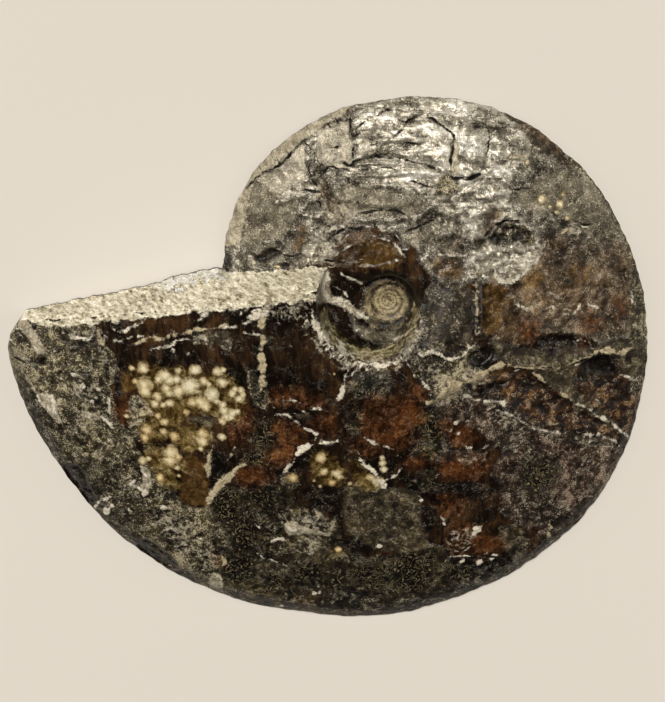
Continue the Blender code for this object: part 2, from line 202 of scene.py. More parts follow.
# ---------------- what each finish covers (mm, in plan)
AREAS = {
    "weathered_shell": (
        (-90, 6, -33, 19, -22, 21, -28, 26, -20, 36, -6, 38, 8, 34, 16, 20, 22, 13,
         38, 12, 44, 14, 60, 8, 62, -8, 72, -14, 95, -15, 104, -24, 125, -22, 145, 0,
         135, 60, 80, 110, -40, 110, -110, 60),
    ),
    "brown_shell": (
        (57, 14, 64, 20, 72, 30, 74, 36, 86, 34, 96, 29, 112, 30, 122, 20, 119, 8,
         121, -14, 114, -22, 100, -16, 74, -13, 60, -20, 50, -14, 50, 0, 56, 8),
        (24, 26, 34, 28, 34, 33, 26, 32),
        (-33, 60, -29, 56, -26, 50, -22, 43, -25, 40, -30, 48, -34, 54),
        (36, 92, 48, 94, 62, 88, 58, 86, 44, 88),
        (54, 92, 62, 84, 74, 72, 86, 62, 96, 64, 80, 90, 60, 98),
        (-40, 20, -20, 22, -14, 30, -4, 33, 4, 27, -4, 34, -18, 33, -28, 26),
    ),
    "satin_shell": (
        (-66, 57, -60, 61, -54, 64, -48, 69, -43, 75, -40.5, 76, -40, 68, -39, 60,
         -42, 56, -50, 54, -55, 50, -60, 58),
        (-33, 83, -20, 88, -18, 80, -17, 75, -18, 65, -28, 64, -34, 68, -35, 77),
        (59, 78, 66, 78, 68, 73, 64, 68, 58, 70),
    ),
    "olive_shell": (
        (-67, 57, -60, 58.5, -56, 52, -48, 54, -43, 47, -47, 40, -50, 30, -58, 31,
         -64, 28, -70, 24, -71, 36, -68, 48),
        (-26, 57, -14, 58, 4, 57, 20, 50, 12, 45, -4, 44, -20, 45),
        (58, 50, 72, 62, 84, 64, 98, 56, 110, 40, 112, 31, 98, 30, 88, 38, 76, 44,
         64, 46),
        (4, 30, 20, 30, 24, 36, 10, 37),
        (-17, -4, -15, -9, -10, -13, -3, -14, 4, -13, 9, -10, 12, -6, 16, -9, 12, -16,
         2, -19, -8, -18, -15, -14, -19, -7),
    ),
    "grey_boss": (
        (17, -13, 16, 0, 18.5, 9, 26, 13.5, 34, 12.5, 39.5, 6, 40.5, -6, 37, -17, 30, -22.5,
         20, -19),
    ),
    "silver_shell": (
        (-17, 92, -17, 79, -18, 70, -20, 64, -18, 59, -8, 58.5, 6, 57, 18, 52, 24, 44,
         36, 40, 42, 30, 36, 24, 37, 15, 52, 10, 66, 14, 73, 24, 72, 34, 64, 40,
         60, 44, 56, 50, 57, 58, 60, 66, 66, 70, 64, 78, 56, 88, 48, 100, 20, 106),
        (-36, 62, -32, 56, -44, 52, -58, 46, -52, 52, -42, 58),
        (-42, 21, -30, 20, -24, 26, -30, 34, -40, 30),
    ),
    "matrix": (
        (-196, -12, -178, -6, -172, -11, -164, -15, -160, -20, -150, -20.5, -140, -16,
         -134, -21, -131, -28, -133, -34, -136, -42, -134, -52, -132, -62, -126, -66,
         -124, -76, -117, -84, -106, -88, -105, -104, -95, -106, -89, -104, -84, -112,
         -76, -118, -80, -132, -84, -150, -95, -170, -150, -140, -190, -70, -200, -30),
        (-128, -44, -118, -45, -110, -52, -112, -66, -120, -72, -128, -66),
        (-186, -5, -172, -9, -160, -8, -143, -5, -142, -14, -146, -20, -190, -30),
        (10, -20, 26, -21, 44, -16, 44, -30, 38, -46, 20, -46, 19, -37, 11, -31),
        (-66, -26, -62, -30, -58, -34, -57, -46, -66, -47, -68, -33),
        # Over the steep upper left side of the pit: the darker matrix is painted shade.
        (45, 31, 50, 37, 58, 39, 66, 37.5, 71, 32, 68, 27, 60, 30, 52, 27),
        # A sunken patch right of the silver folds: its darker matrix is partly painted shade.
        (21, 53, 28, 52, 33, 57, 31, 61, 27, 64, 22, 60),
        (80, 92, 78, 76, 88, 66, 98, 56, 110, 40, 114, 30, 119, 20, 119, -5,
         120, -30, 118, -40, 122, -64, 134, -70, 145, -30, 135, 40, 95, 85),
    ),
    "grit": (
        (40, -43, 58, -50, 72, -61, 90, -70, 118, -80, 128, -84, 118, -104, 104, -122,
         88, -136, 80, -122, 66, -117, 58, -108, 57, -94, 52, -86, 58, -75, 50, -66,
         40, -58, 24, -56, 20, -46),
        (22, -72, 48, -73, 50, -82, 24, -80),
    ),
    "olive_marl": (
        (-90, -103, -72, -92, -48, -88, -45, -106, -25, -108, -22, -124, -14, -134,
         10, -132, 28, -124, 34, -140, 45, -146, 66, -146, 80, -150, 20, -185, -50, -185,
         -92, -168, -84, -140, -77, -118),
        (58, -118, 66, -118, 74, -130, 70, -142, 60, -134),
        (10, -66, 30, -60, 28, -74, 20, -78, 10, -72),
        (12, -84, 24, -80, 26, -94, 16, -94),
        (-20, -45, -14, -44, -12, -52, -14, -60, -20, -60),
        (-20, -28, 0, -27, 2, -38, -18, -42),
        (-52, -82, -45, -82, -44, -92, -54, -92),
    ),
    "fern_suture": (
        (-88, -94, -80, -92, -72, -95, -73, -110, -82, -116, -88, -108),
        (-70, -93, -56, -94, -55, -104, -68, -105),
        (-80, -114, -68, -110, -64, -116, -65, -130, -78, -132),
        (-86, -132, -74, -131, -66, -137, -66, -152, -78, -155, -85, -146),
        (-62, -142, -51, -145, -49, -158, -58, -162, -64, -152),
        (-49, -138, -30, -136, -36, -150, -47, -154),
        (-30, -146, -20, -140, -22, -160, -30, -160),
        (-20, -139, -2, -138, 0, -158, -16, -152),
        (2, -128, 16, -130, 27, -132, 24, -158, 8, -158, 4, -144),
        (29, -142, 46, -141, 48, -152, 32, -155),
        (-62, -52, -48, -54, -50, -66, -60, -70, -68, -66),
        (-72, -72, -62, -70, -56, -76, -60, -80, -70, -79),
        (12, -56, 20, -48, 28, -52, 30, -64, 20, -66),
        (64, -84, 84, -80, 88, -96, 70, -100),
        (18, -88, 26, -84, 28, -98, 20, -96),
    ),
    "grey_stone": (
        (-22.4, -91, -12, -89, -4, -93, 4, -91, 15, -93, 17, -99, 17, -117, 22, -122,
         20, -130, 8, -131, -4, -130, -12, -125, -19, -120, -22, -108),
        (48, -15, 58, -19, 66, -21, 76, -23, 79, -27, 82, -22.5, 92, -22.5, 101, -23,
         112, -20, 122, -20, 130, -30, 128, -42, 118, -40, 114, -33, 108, -26, 100, -26,
         92, -29.5, 80, -31, 62, -28, 52, -26),
        (-65, -137, -56, -136, -51, -139, -51, -144, -58, -146, -66, -144),
        (-50, -126, -40, -121, -28, -124, -28, -134, -40, -139, -51, -135),
        (-98, -53.6, -88, -52.5, -84, -54, -84, -57, -94, -57.5),
        (57, -120, 64, -120, 69, -133, 62, -134),
        (-79, -7, -76, -7, -75, -14, -77, -17, -84, -14, -96, -15, -90, -10),
        (-45, -48.5, -38, -48, -37, -51, -43, -52),
        (70, -31, 84, -30, 94, -30, 92, -36, 91, -43, 98, -50, 108, -58, 117, -66,
         124, -76, 112, -67, 100, -57, 88, -47.5, 80, -41, 74, -36),
        (84, -66, 98, -69, 115, -74, 113, -76, 98, -73, 86, -68.5),
    ),
    "beige_crust": (
        (-92, 24, -72, 25, -69, 40, -66, 56, -62, 60.5, -56, 63, -50, 68, -43, 76,
         -40, 77.5, -33, 84, -20, 89, -19, 96, -40, 92, -70, 75),
        (-24, 50, -20, 48, -19, 44, -24, 43),
        (29, 80, 32, 77, 31.5, 70, 33, 63, 30, 62, 28, 68),
        (-91, -146, -85, -146, -84, -162, -92, -163),
        (-183, -12, -178, -8, -174, -13, -170, -20, -167, -25, -172, -28, -176, -20,
         -181, -15),
        (56, 72, 66, 72.5, 66, 69, 57, 69),
        (-52, -113, -49, -111, -45, -111.5, -42, -114, -36, -116, -29, -118.5, -28, -121,
         -34, -120, -41, -118.5, -47, -120.5, -51, -120),
        (-34.5, 17, -30, 18.5, -28, 10, -28, 4.5, -24, 2.5, -20, 1.6, -16, -3, -11.5, -7,
         -15, -8.5, -20, -3, -26, -1, -31, 1, -34, 8),
        (-177, -45, -173, -48, -166, -48, -165, -54, -164, -60, -162.5, -64, -166, -64,
         -170, -57, -174, -52),
        (-124, -83, -119, -84, -118, -92, -119.5, -99, -122, -102, -124, -98, -122, -90),
    ),
    "rust_calcite": (
        (-13, -40, 0, -40, 8, -42, 15, -41, 16, -54, 10, -61, 14, -68, 4, -70, -2, -66,
         -12, -62, -14, -50),
        (11, -37, 14, -34, 19, -36, 20, -42, 14, -44),
        (-16, -64, -8, -62, -4, -68, -8, -74, -15, -71),
        (-56, -35, -40, -36, -32, -41, -34, -45, -50, -44, -57, -43),
        (-58, -54, -46, -54, -38, -60, -42, -66, -48, -74, -56, -80, -60, -76, -52, -66),
        (-38, -52, -26, -48, -24, -58, -34, -60),
        (-74, -80, -68, -80, -58, -83, -60, -90, -68, -92, -75, -88),
        (7, -76, 20, -73, 19, -80, 10, -82),
        (24, -75, 46, -74, 50, -80, 47, -90, 36, -90, 25, -88),
        (25, -94, 35, -94, 37, -104, 33, -111, 26, -106),
        (32, -117, 44, -116, 50, -122, 60, -128, 60, -136, 44, -137, 32, -132),
        (-73, -45, -67, -45, -67, -60, -72, -68, -79, -66, -74, -56),
        (-133, -48, -127, -47, -127, -58, -131, -61, -134, -56),
        (92, -19, 96, -19, 99, -21.5, 97, -22.5, 92, -22.5),
        (63, -5, 73, -6, 74, -14, 66, -19, 62, -14),
        (93, -5, 101, -4, 104, -12, 102, -19, 94, -14),
        (108, 3, 116, 0, 119, -8, 116, -14, 111, -10),
        (26, -54, 34, -54, 38, -60, 46, -66, 44, -70, 34, -68, 27, -62),
    ),
    "amber_calcite": (
        (-99.7, -74.7, -89, -76.9, -89.7, -96.9, -88.3, -102, -92, -105, -104.7, -103,
         -103.3, -90, -102, -82),
        (20, 24, 20, 19, 27, 14, 35, 15, 35, 24, 28, 24.5),
        (45, 14, 54, 14, 57, 6, 56, -4, 52, -12, 45, -13, 44, 0),
        (46, 44, 50, 46, 53.5, 45.5, 52, 40, 46, 34, 44, 32, 44.5, 36),
        (86, 19, 97, 18, 97.5, 12, 91, 7, 86, 12),
        (63, 16, 74, 17, 75, 9, 66, 8),
        (-47, 26, -42, 25, -39.5, 32, -40, 38, -44, 38, -44, 32),
        (-16, 20, -14, 28, -8, 31, -3, 31, 2, 27, 4, 21, 0, 18, -10, 19),
        (48, -30.5, 57, -31, 57, -35, 50, -35),
        (76, -58, 88, -60, 90, -63, 80, -62),
        (-131, -32, -124, -33, -123, -42, -129, -43),
        (-48, -157, -35, -155, -32, -163, -34, -176, -48, -174),
        (-90, -131, -86, -133, -82, -139, -86, -144, -90, -140),
        (41, 33, 46, 33, 45, 28, 41, 27),
        (-118, -12, -111, -12, -111, -16, -118, -16),
    ),
    "cavity_crust": (
        (94, -31, 103, -27, 108, -26, 112, -29, 115, -36, 123, -43, 127, -56, 124, -74,
         117, -66, 108, -58, 98, -50, 91, -43, 92, -37),
        (44, -36, 52, -33, 60, -33, 72, -35, 80, -42, 88, -48.5, 100, -58, 112, -68,
         119, -75, 108, -71, 96, -67, 84, -64, 72, -59, 60, -51, 50, -44),
    ),
    "rim_striae": (
        (-48, -156, -30, -158, -10, -161, 10, -160, 30, -156, 50, -149, 66, -142,
         80, -134, 96, -130, 60, -160, 30, -172, -10, -182, -52, -180),
    ),
    # Near black: black calcite, and painted shade in open gaps, hollows and the umbilicus's shaded upper
    # wall.
    "black_gap": (
        (-173, -32, -170, -28, -167, -29, -169, -32.5, -173, -33.5),
        (-162, -87, -153, -88, -151, -98, -146, -109, -148, -114, -158, -112, -172, -95),
        (-125, -126, -114, -133, -108, -140, -106, -146, -118, -152, -134, -138),
        (-134, -34, -131, -32, -130, -44, -132, -47, -134, -44),
        (-88.5, -79, -86, -71, -81, -74, -77, -80, -84, -92, -88.5, -97),
        (-44, -90, -24, -89, -22, -100, -21, -112, -26, -112, -30, -106, -42, -98),
        (-28, -122, -18, -122, -13, -128, -14, -134, -17, -134, -19, -126, -28, -126),
        (19, -90, 46, -90, 46, -96, 22, -97),
        (17, -104, 24, -103, 25, -120, 18, -119),
        (36, -23, 42, -20, 50, -17, 53, -24, 47, -30, 43, -31, 38, -27),
        (94, -31, 103, -27, 108, -26, 112, -29, 114, -37, 112, -40, 100, -37, 95, -36),
        (70, -15.5, 93, -15.5, 94, -22, 84, -22, 80, -26, 78, -26, 74, -20),
        (-66, 20, -62, 23, -57, 28, -51, 25, -55, 22, -60, 18),
        (46, -37, 57, -36, 58, -40, 52, -42, 47, -41),
        # The black crescent under the upper wall of the umbilicus: painted shadow.
        (-14, 6, -10, 12, -4, 16.5, 3, 17.5, 9, 15, 13, 9, 14, 3, 14, -4, 12.6, -3,
         12, 3, 9, 7.5, 4, 10.5, -2, 11, -7, 9.5, -11, 5),
        (73, -50, 77, -50, 78, -56, 75, -57),
        (-160, -16.5, -155, -17.5, -148, -18.5, -142, -19, -150, -21, -160, -20),
        (-68, -112, -64.5, -112, -64.5, -124, -68, -126),
        (-81, 22, -77, 22, -77, 12, -81, 12),
    ),
}

# White calcite dust: where fine pale crystals lie close together.
FROST = (
    (8, -8, 14, -5, 17, -14, 24, -20, 16, -22, 6, -24, 3, -20),
    (18, -46, 26, -38, 25, -31, 34, -26, 46, -29, 52, -32, 46, -38, 36, -42, 28, -46),
    (12, -22, 26, -24, 34, -32, 22, -38, 13, -30),
    (-50, 13, -42, 12, -30, 17, -24, 24, -18, 30, -22, 36, -34, 34, -46, 22),
    (-36, 40, -22, 38, -16, 43, -26, 50, -36, 48),
    (-158, -34, -146, -38, -140, -46, -142, -60, -152, -60, -158, -46),
    (-128, -48, -118, -46, -114, -54, -120, -66, -128, -66),
    (-142, -12, -136, -12, -135, -28, -140, -28),
    (-160, -9, -143, -7, -142, -15, -158, -14),
    (-120, -106, -104, -104, -98, -120, -96, -140, -108, -136, -118, -122),
    (48, 22, 56, 12, 66, 14, 73, 24, 72, 30, 64, 20, 56, 18),
    (86, 38, 98, 37, 99, 31, 87, 30),
    (56, 8, 64, 8, 70, 2, 68, -4, 60, -2),
    (-54, -106, -27, -105, -24, -121, -52, -121),
    (34, -75, 44, -75, 45, -80, 36, -80),
    (30, -120, 44, -118, 46, -132, 32, -134),
    (44, -46, 58, -51, 72, -60, 66, -66, 50, -58),
    (84, -66, 98, -69, 115, -74, 112, -77, 96, -74),
    (-62, -2, -36, 0, -36, 12, -58, 10),
    (-100, -12, -78, -8, -75, -16, -90, -16),
    (-46, -121, -34, -122, -34, -134, -46, -132),
    (10, 36, 20, 34, 36, 36, 40, 46, 24, 46),
    (-96, -120, -86, -124, -84, -146, -94, -144),
)

# Crystal haze between and below the rosettes, and the rosettes: centre, radius and share of gold.
HAZE = (
    (-124, -27, -116, -26, -110, -30, -100, -28, -92, -30, -80, -30, -70, -36, -69, -46,
     -74, -56, -84, -52, -96, -50, -100, -56, -104, -60, -110, -68, -122, -72, -124, -58,
     -118, -48, -123, -40),
    (-104, -60, -96, -58, -88, -60, -88, -72, -100, -74, -104, -70),
    (-124, -78, -112, -72, -102, -76, -104, -98, -112, -96, -116, -86),
    (-37, -70, -28, -70, -22, -80, -22, -90, -34, -92, -38, -82),
    (-16, -74, -8, -84, -4, -90, -10, -94, -16, -88, -18, -80),
)
ROSETTES = (
    (-118.9, -29.6, 3.4, 0.3), (-124.4, -29.9, 1.6, 0.7), (-118.6, -38, 4.2, 0.4),
    (-118.4, -42, 3.4, 0.5), (-123.3, -36.7, 1.6, 1), (-108.3, -32.9, 3.6, 0.2),
    (-111.4, -34.9, 2.4, 0.3), (-106, -35, 2.6, 0.2), (-101.5, -29.6, 1.8, 0.2), (-102.2, -34, 2.4, 0.1),
    (-95.8, -37.2, 5, 0), (-93.1, -28.3, 2.9, 0), (-82.2, -28.6, 2.4, 0.1),
    (-79.4, -27.2, 1.5, 0.3), (-80.3, -34.4, 2.9, 0.2), (-85.4, -40.8, 4.2, 0),
    (-90.4, -45.6, 4, 0.5), (-88.6, -47.6, 3, 0.6), (-89, -34, 2.4, 0.4), (-86.6, -35.4, 1.6, 0.3),
    (-107.9, -39.4, 2.8, 0.4), (-106.6, -42, 2, 0.3), (-101.5, -40.4, 3.6, 0.4),
    (-112.6, -44, 2.4, 0.6), (-114, -48.3, 2.4, 0.5), (-106.5, -47.2, 2.4, 0.4),
    (-109.8, -48.6, 2, 0.5), (-75.4, -39.9, 1.9, 0.3), (-71.1, -37.6, 1.8, 0.2),
    (-74, -37.2, 1.5, 0.3), (-71.9, -42.6, 2.3, 0), (-70.4, -40, 1.6, 0.3), (-80.4, -46.5, 2.5, 0.2),
    (-79.7, -49.4, 2.6, 0.2), (-75.6, -50.4, 2.6, 0.1), (-79, -52.6, 2, 0.2), (-73.3, -49.4, 1.8, 0.1),
    (-83, -44.6, 1.6, 0.1), (-80.8, -55.4, 1.9, 0.5), (-76.5, -53, 1.6, 0.3), (-98.3, -51.5, 2, 0.8),
    (-95, -46, 2.4, 0.9), (-81.1, -63.8, 2.2, 0.1), (-91, -62.6, 3, 0.8), (-91, -66.9, 3.2, 0.5),
    (-92, -71.4, 1.5, 0.1), (-107, -74.8, 4.6, 0.5), (-107.6, -79, 3.8, 0.6), (-103.6, -77, 2.4, 0.8),
    (-112.6, -54.7, 2, 0.8), (-109.7, -57.6, 2.4, 0.8), (-110.4, -62.6, 2, 0.7),
    (-119, -62.6, 3.4, 1), (-120, -67, 2.6, 1), (-104.7, -65.4, 3, 1), (-121.9, -80.4, 2.4, 0.3),
    (-118.6, -79, 1.6, 0.6), (-113.3, -89, 2.4, 1), (-104.5, -83, 1.8, 0.3), (-103.8, -87.5, 1.3, 0.4),
    (-33, -73.8, 3, 0.7), (-31.4, -81.8, 2.4, 0.7), (-25.4, -83, 2.8, 0.6), (-23.8, -85, 2, 0.4),
    (-27.5, -88, 2.4, 1), (-33.3, -90.3, 1.3, 0.1), (-36.4, -87.2, 1, 0.2), (-18.7, -88.8, 1.3, 0.1),
    (-5, -87.6, 3.4, 0.3), (-8.4, -85, 2.6, 0.6), (-3, -74, 1.6, 0), (-2.8, -77, 1.8, 0),
    (-2, -80.6, 2, 0), (72.3, 50, 2.3, 0.15), (81.4, 47.5, 2.2, 0.1), (79.8, 44, 1.4, 0),
    (83, 52, 1.6, 0.3), (76.4, 46.6, 1.2, 0.1), (65, 67.9, 1.4, 0.2), (85, 40.7, 1.4, 0.2),
    (-53.6, 16.5, 1.4, 0.4), (-26.5, -27, 0.8, 0.8), (-46.8, -85.6, 2.6, 0.9), (-24.2, -129, 2.2, 1),
    (-128.3, -56, 1.4, 0.3),
)

ROSETTE_FADE = 1.25

# Veins and cracks: half the width, and the line.
SERRATIONS = tuple((0.4, (40, y, 43.4, y + 0.8))
                   for y in (-11.6, -9, -6.8, -3, -1, 2.2, 4.4, 8, 11, 12.8))
WHITE_VEINS = (
    *SERRATIONS,
    (0.6, (-159, -14, -155, -15, -151, -16.5, -147, -17, -143.5, -16.5, -142.5, -13,
           -142, -10)),
    (0.6, (-133, -10, -131, -11.7, -128, -11.5, -124, -9.5, -120, -8, -118, -6, -115, -3,
           -113, -2)),
    (0.2, (-134, -17, -126, -15, -118, -12.5, -113, -12)),
    (0.6, (-114.5, -19.5, -108, -18, -103, -16.5, -100, -13, -96, -12.5)),
    (0.8, (-80, -5.8, -74, -5, -71, -4, -68, -2.5, -64, 0, -60, 1.8, -57, 2)),
    (0.9, (-92, -1, -90, -3, -88.4, -0.5, -87, 1.5, -86, 4)),
    (0.5, (-72, -1, -69, 2, -67, 5, -67, 7)),
    (1, (-70, -2, -65, 1, -61, 3, -57, 3.5)),
    (0.4, (-66, 2, -60, 5, -55, 8)),
    (0.3, (-48, -1, -46, 4, -43, 5, -40, 3, -39.5, -1, -41, -4, -44, -3.5, -48, -3)),
    (0.5, (-88, -13, -80, -15, -77, -17, -75, -15)),
    (0.5, (-71, -7, -66, -8.5, -61, -8)),
    (1.5, (-36.5, 0, -34.5, -4, -31.5, -9, -28.5, -13)),
    (0.6, (-38, 6, -37, 2, -36, -2)),
    (0.9, (-25, -15, -21, -18.5, -17, -21)),
    (0.6, (-14, -24, -17, -26.5, -20, -28.5)),
    (0.5, (-18, -22, -20, -26, -21.5, -30)),
    (1, (-21.5, -31, -22.5, -35, -23.5, -39, -24.5, -41)),
    (0.35, (7, -20, 9, -23, 11, -27, 12, -30)),
    (0.9, (-15, -21.5, -11, -23.4, -6, -24.6, -1, -24.4, 4, -22.5)),
    (0.6, (11, -30.5, 14, -32, 17, -34, 19, -37)),
    (0.7, (12, -19, 16, -19.5, 20, -18.5, 24, -20, 27, -22.5, 32, -23.5, 36, -21, 41, -17)),
    (0.6, (-56, -46, -53, -47.5)),
    (0.45, (-50, -49.2, -46, -48.6, -40, -47, -33, -45.7)),
    (0.35, (-50, -49.5, -46, -52, -42, -54.5)),
    (1, (-41, -55.5, -39, -56.8, -37, -58.5, -35, -60)),
    (0.25, (-62, -50.5, -55, -50, -50, -49.3)),
    (0.3, (-50.5, -42, -47, -41.4, -43, -42.4)),
    (0.4, (-35, -60, -35.2, -62, -35.5, -64.5)),
    (1.2, (-35.5, -64.5, -37.5, -65.7, -40.5, -67.8, -43, -70, -44.5, -72.3)),
    (0.5, (-44.5, -72.3, -46, -75)),
    (1.3, (-46, -76, -47.5, -78, -49.5, -80, -51.6, -82.4)),
    (0.8, (-35.5, -65, -32, -64.8, -29, -64.5, -26.8, -64, -24.5, -63.6)),
    (0.5, (-12, -62.6, -9.5, -64.5, -6.8, -66.5)),
    (0.5, (-4.6, -66.2, -1.4, -67.2, 1, -68.6, 2.4, -70)),
    (1, (2.4, -69.6, 3.4, -71.6)),
    (0.5, (-15.4, -70, -14, -72.6)),
    (1, (-14, -72.6, -12.6, -75.4, -10, -78.4, -7.5, -81.2, -5.2, -84, -3, -88.8,
           -0.6, -92.6)),
    (0.6, (-1.4, -86.5, 1.7, -85.7, 4.8, -82.6, 7.5, -79.5)),
    (0.5, (5, -73.4, 8, -75.4)),
    (0.7, (93.6, -51.4, 101.4, -57, 109.3, -62, 115.7, -67, 120.7, -72, 122.9, -75)),
    (0.6, (35, -41, 42.9, -44.6, 51.4, -45.7, 55, -47.5, 57, -49.3)),
    (0.35, (46, -50, 50.7, -51.4, 58.6, -53.6, 63.6, -56.8, 70, -60)),
    (0.5, (70, -60, 73.6, -63.6, 80, -65, 82.9, -65.7, 87, -66.8, 91.4, -69.6)),
    (0.7, (92.9, -67, 99.3, -69, 106.4, -71, 112.9, -72.9, 115.7, -75.7, 117.9, -79.3)),
    (0.3, (96, -71.5, 104, -73.5, 110, -75, 114, -78)),
    (0.35, (58.6, -35, 62, -33.6, 65, -32.9)),
    (1.1, (-137.6, -21, -137.2, -24, -137, -28)),
    (1.3, (-137.6, -46, -137, -50, -137, -55)),
    (1.3, (-141, -57, -139, -60, -136.2, -63.6)),
    (1.2, (-176.4, -46, -174.8, -49, -173, -52.6)),
    (0.7, (-173, -50, -170, -49.4, -166, -49)),
    (0.6, (-170.4, -52, -169, -56, -167.4, -59.6, -164.6, -63.4)),
    (1, (-166.4, -50, -165.6, -54, -165.6, -58)),
    (0.5, (-141.4, -72.2, -138.6, -71.4)),
    (0.9, (-122.6, -83.6, -121.4, -87, -120, -90.4)),
    (1.2, (-120.4, -91, -120.6, -95, -121.4, -98, -122.2, -100.8)),
    (1.3, (-128.4, -94, -126.6, -91.8)),
    (1, (-127.6, -95, -125.4, -97, -123, -98)),
    (0.9, (-173.4, -26.5, -172, -26)),
    (0.8, (-174.6, -21, -173.6, -24, -172.4, -26)),
    (0.8, (-183, -15, -180, -14.6, -177.6, -16)),
    # Along the lower right rim of the pit, which faces the lamp: a pale line painted as its highlight.
    (1.1, (73, 24, 69, 19, 64, 15, 57, 11)),
    (1, (50.7, 18, 52, 14, 55, 11)),
    (0.4, (23, 25.8, 30, 25, 38, 26)),
    (0.5, (-23.6, 16.4, -21, 14.6, -18, 13.5, -15.6, 11, -13, 9)),
    (0.25, (-28, 9.6, -24, 7.4, -20, 4)),
    (1.9, (-31.8, 17, -31.4, 12, -31, 7, -30, 3.4)),
    (1.5, (-30.6, 3, -27, 2, -23.6, 1, -20.6, 0.4)),
    (0.8, (-21.8, 0, -21.6, -3.4)),
    (0.7, (-20.6, 0.6, -18, -0.6, -16.4, -2.6, -15.4, -5)),
    (1.2, (-15.4, -5, -13, -6.4, -11, -7.8)),
    (0.6, (-12.6, -14.6, -10.6, -13.4)),
    (0.5, (-16, -12.4, -14.6, -12)),
    (1.3, (2.6, -16.2, 5.6, -14.4)),
    (0.8, (-28, 23.5, -25, 25.5, -20, 28.5, -17, 30.5)),
    (0.4, (-10, 33.8, -3, 34, 0, 32.4, 3, 30, 5, 26.5, 8, 25)),
    (1, (-22.6, 37, -20.6, 39.6, -18.6, 41.4)),
    (0.7, (-29, 35.6, -26, 37.6, -23, 38.6)),
    (0.7, (-55, 48.4, -48, 50.5, -44, 51.6, -40, 52, -37.4, 50)),
    (0.5, (-41, 43, -37, 42, -33, 42.5)),
    (0.5, (-62, 29, -57.6, 29, -54.6, 27, -52, 25)),
    (3.4, (-50, -116.4, -47.4, -116.4, -45.6, -116.6)),
    (1.2, (-43, -116.6, -38, -117, -34, -118.4, -30, -119.6)),
    (0.9, (-58.7, -125.3, -56.4, -123.6, -54, -122.9, -51.4, -124.2)),
    (0.3, (-65.4, -127, -66, -131, -64.6, -134.4, -61, -136.4, -57, -136, -54.4, -137)),
    (1, (-54.4, -137, -52.6, -138, -51.4, -139.8)),
    (0.9, (-150, -113, -147, -109, -143.4, -105.4, -140.6, -104)),
    (1.5, (-145.4, -119.6, -143.6, -115, -140.6, -110.4, -139.4, -108.6)),
    (0.7, (-107, -117, -111, -121, -116, -121)),
    (0.9, (-110, -134, -106, -133)),
    (0.5, (38.4, -70.9, 41.6, -71.1)),
    (0.7, (46, -73, 49, -70)),
    (0.4, (33, -135.8, 42, -136, 52, -135.4, 60, -137)),
    (0.5, (33.6, -119, 35.6, -121.6, 34, -124)),
    (0.5, (33, -127, 34.6, -131, 39, -133, 43, -131, 41.6, -127.4)),
    (0.4, (36, -124, 39.6, -122.6, 41.6, -125.6)),
    (1.2, (26.6, -109, 28, -112, 28.6, -114.8)),
    (0.4, (-66, -114, -63.4, -116.4)),
    (0.5, (48, 39.6, 56, 42, 64, 40)),
    (0.5, (75, 5, 79, 4.6, 82, 2.6, 84, 2)),
    (0.5, (75, -2.4, 78, -1, 81, -2)),
    (0.6, (95, -0.8, 99, -1.6, 101.6, -3.6)),
    (0.4, (99.6, 2, 103.6, 2.5)),
    (1, (60.6, 0.6, 63.6, -0.6, 66, -2.4)),
    (0.9, (65, 1, 69, 1.4)),
    (0.8, (86.4, -4.6, 89.4, -6, 91, -3.6, 92.6, -1.4)),
    (0.35, (91.6, -20.6, 93.6, -19, 96.4, -19, 99, -21.4)),
    (0.4, (86.6, -34, 95, -30.4)),
    (0.5, (118, -4, 120, -2, 119.4, 3)),
    (0.5, (88, 36.6, 91, 38, 93, 36, 96.6, 37)),
    (0.4, (88, 32, 91, 34, 94, 33)),
    (0.5, (115, -38.6, 120, -41, 124.6, -43)),
    (0.35, (-68.6, 60, -62.6, 51)),
)
WHITE_SPOTS = (
    (-150, -41.5, 1.7), (-142, -43, 1.2), (-145.5, -49.6, 1.7), (-148, -57.5, 1.4), (-155, -36, 1.1),
    (-161, -39, 0.9), (-163.4, -24, 0.8), (-157.4, -30, 1), (-153, -35.6, 0.9),
    (-112.7, -106.9, 1.9), (-130.5, -110.6, 1.3), (-3.3, -127, 1.7), (32.8, -56.8, 1.5),
    (31, -60.3, 0.7), (34.6, -62.6, 1.1), (25, -85.2, 1), (39.5, -139, 1.3), (48.5, -140.7, 1.8),
    (55, -138.5, 1.1), (-37, -158.4, 1.4), (-34, -157.4, 1), (17, -99.8, 1.3), (46.4, -119.4, 2.2),
    (44.6, -121.6, 1.2), (3, 23, 1.1), (-65, 18.5, 0.9), (-187, -22, 1), (-94, -125, 1.2),
    (-95.8, -20.4, 0.9), (-103.3, -19, 1.1), (-103, -9.5, 0.8), (-53.6, -169, 1), (62, -31.4, 0.9),
    (-74.6, -74.6, 0.5),
)
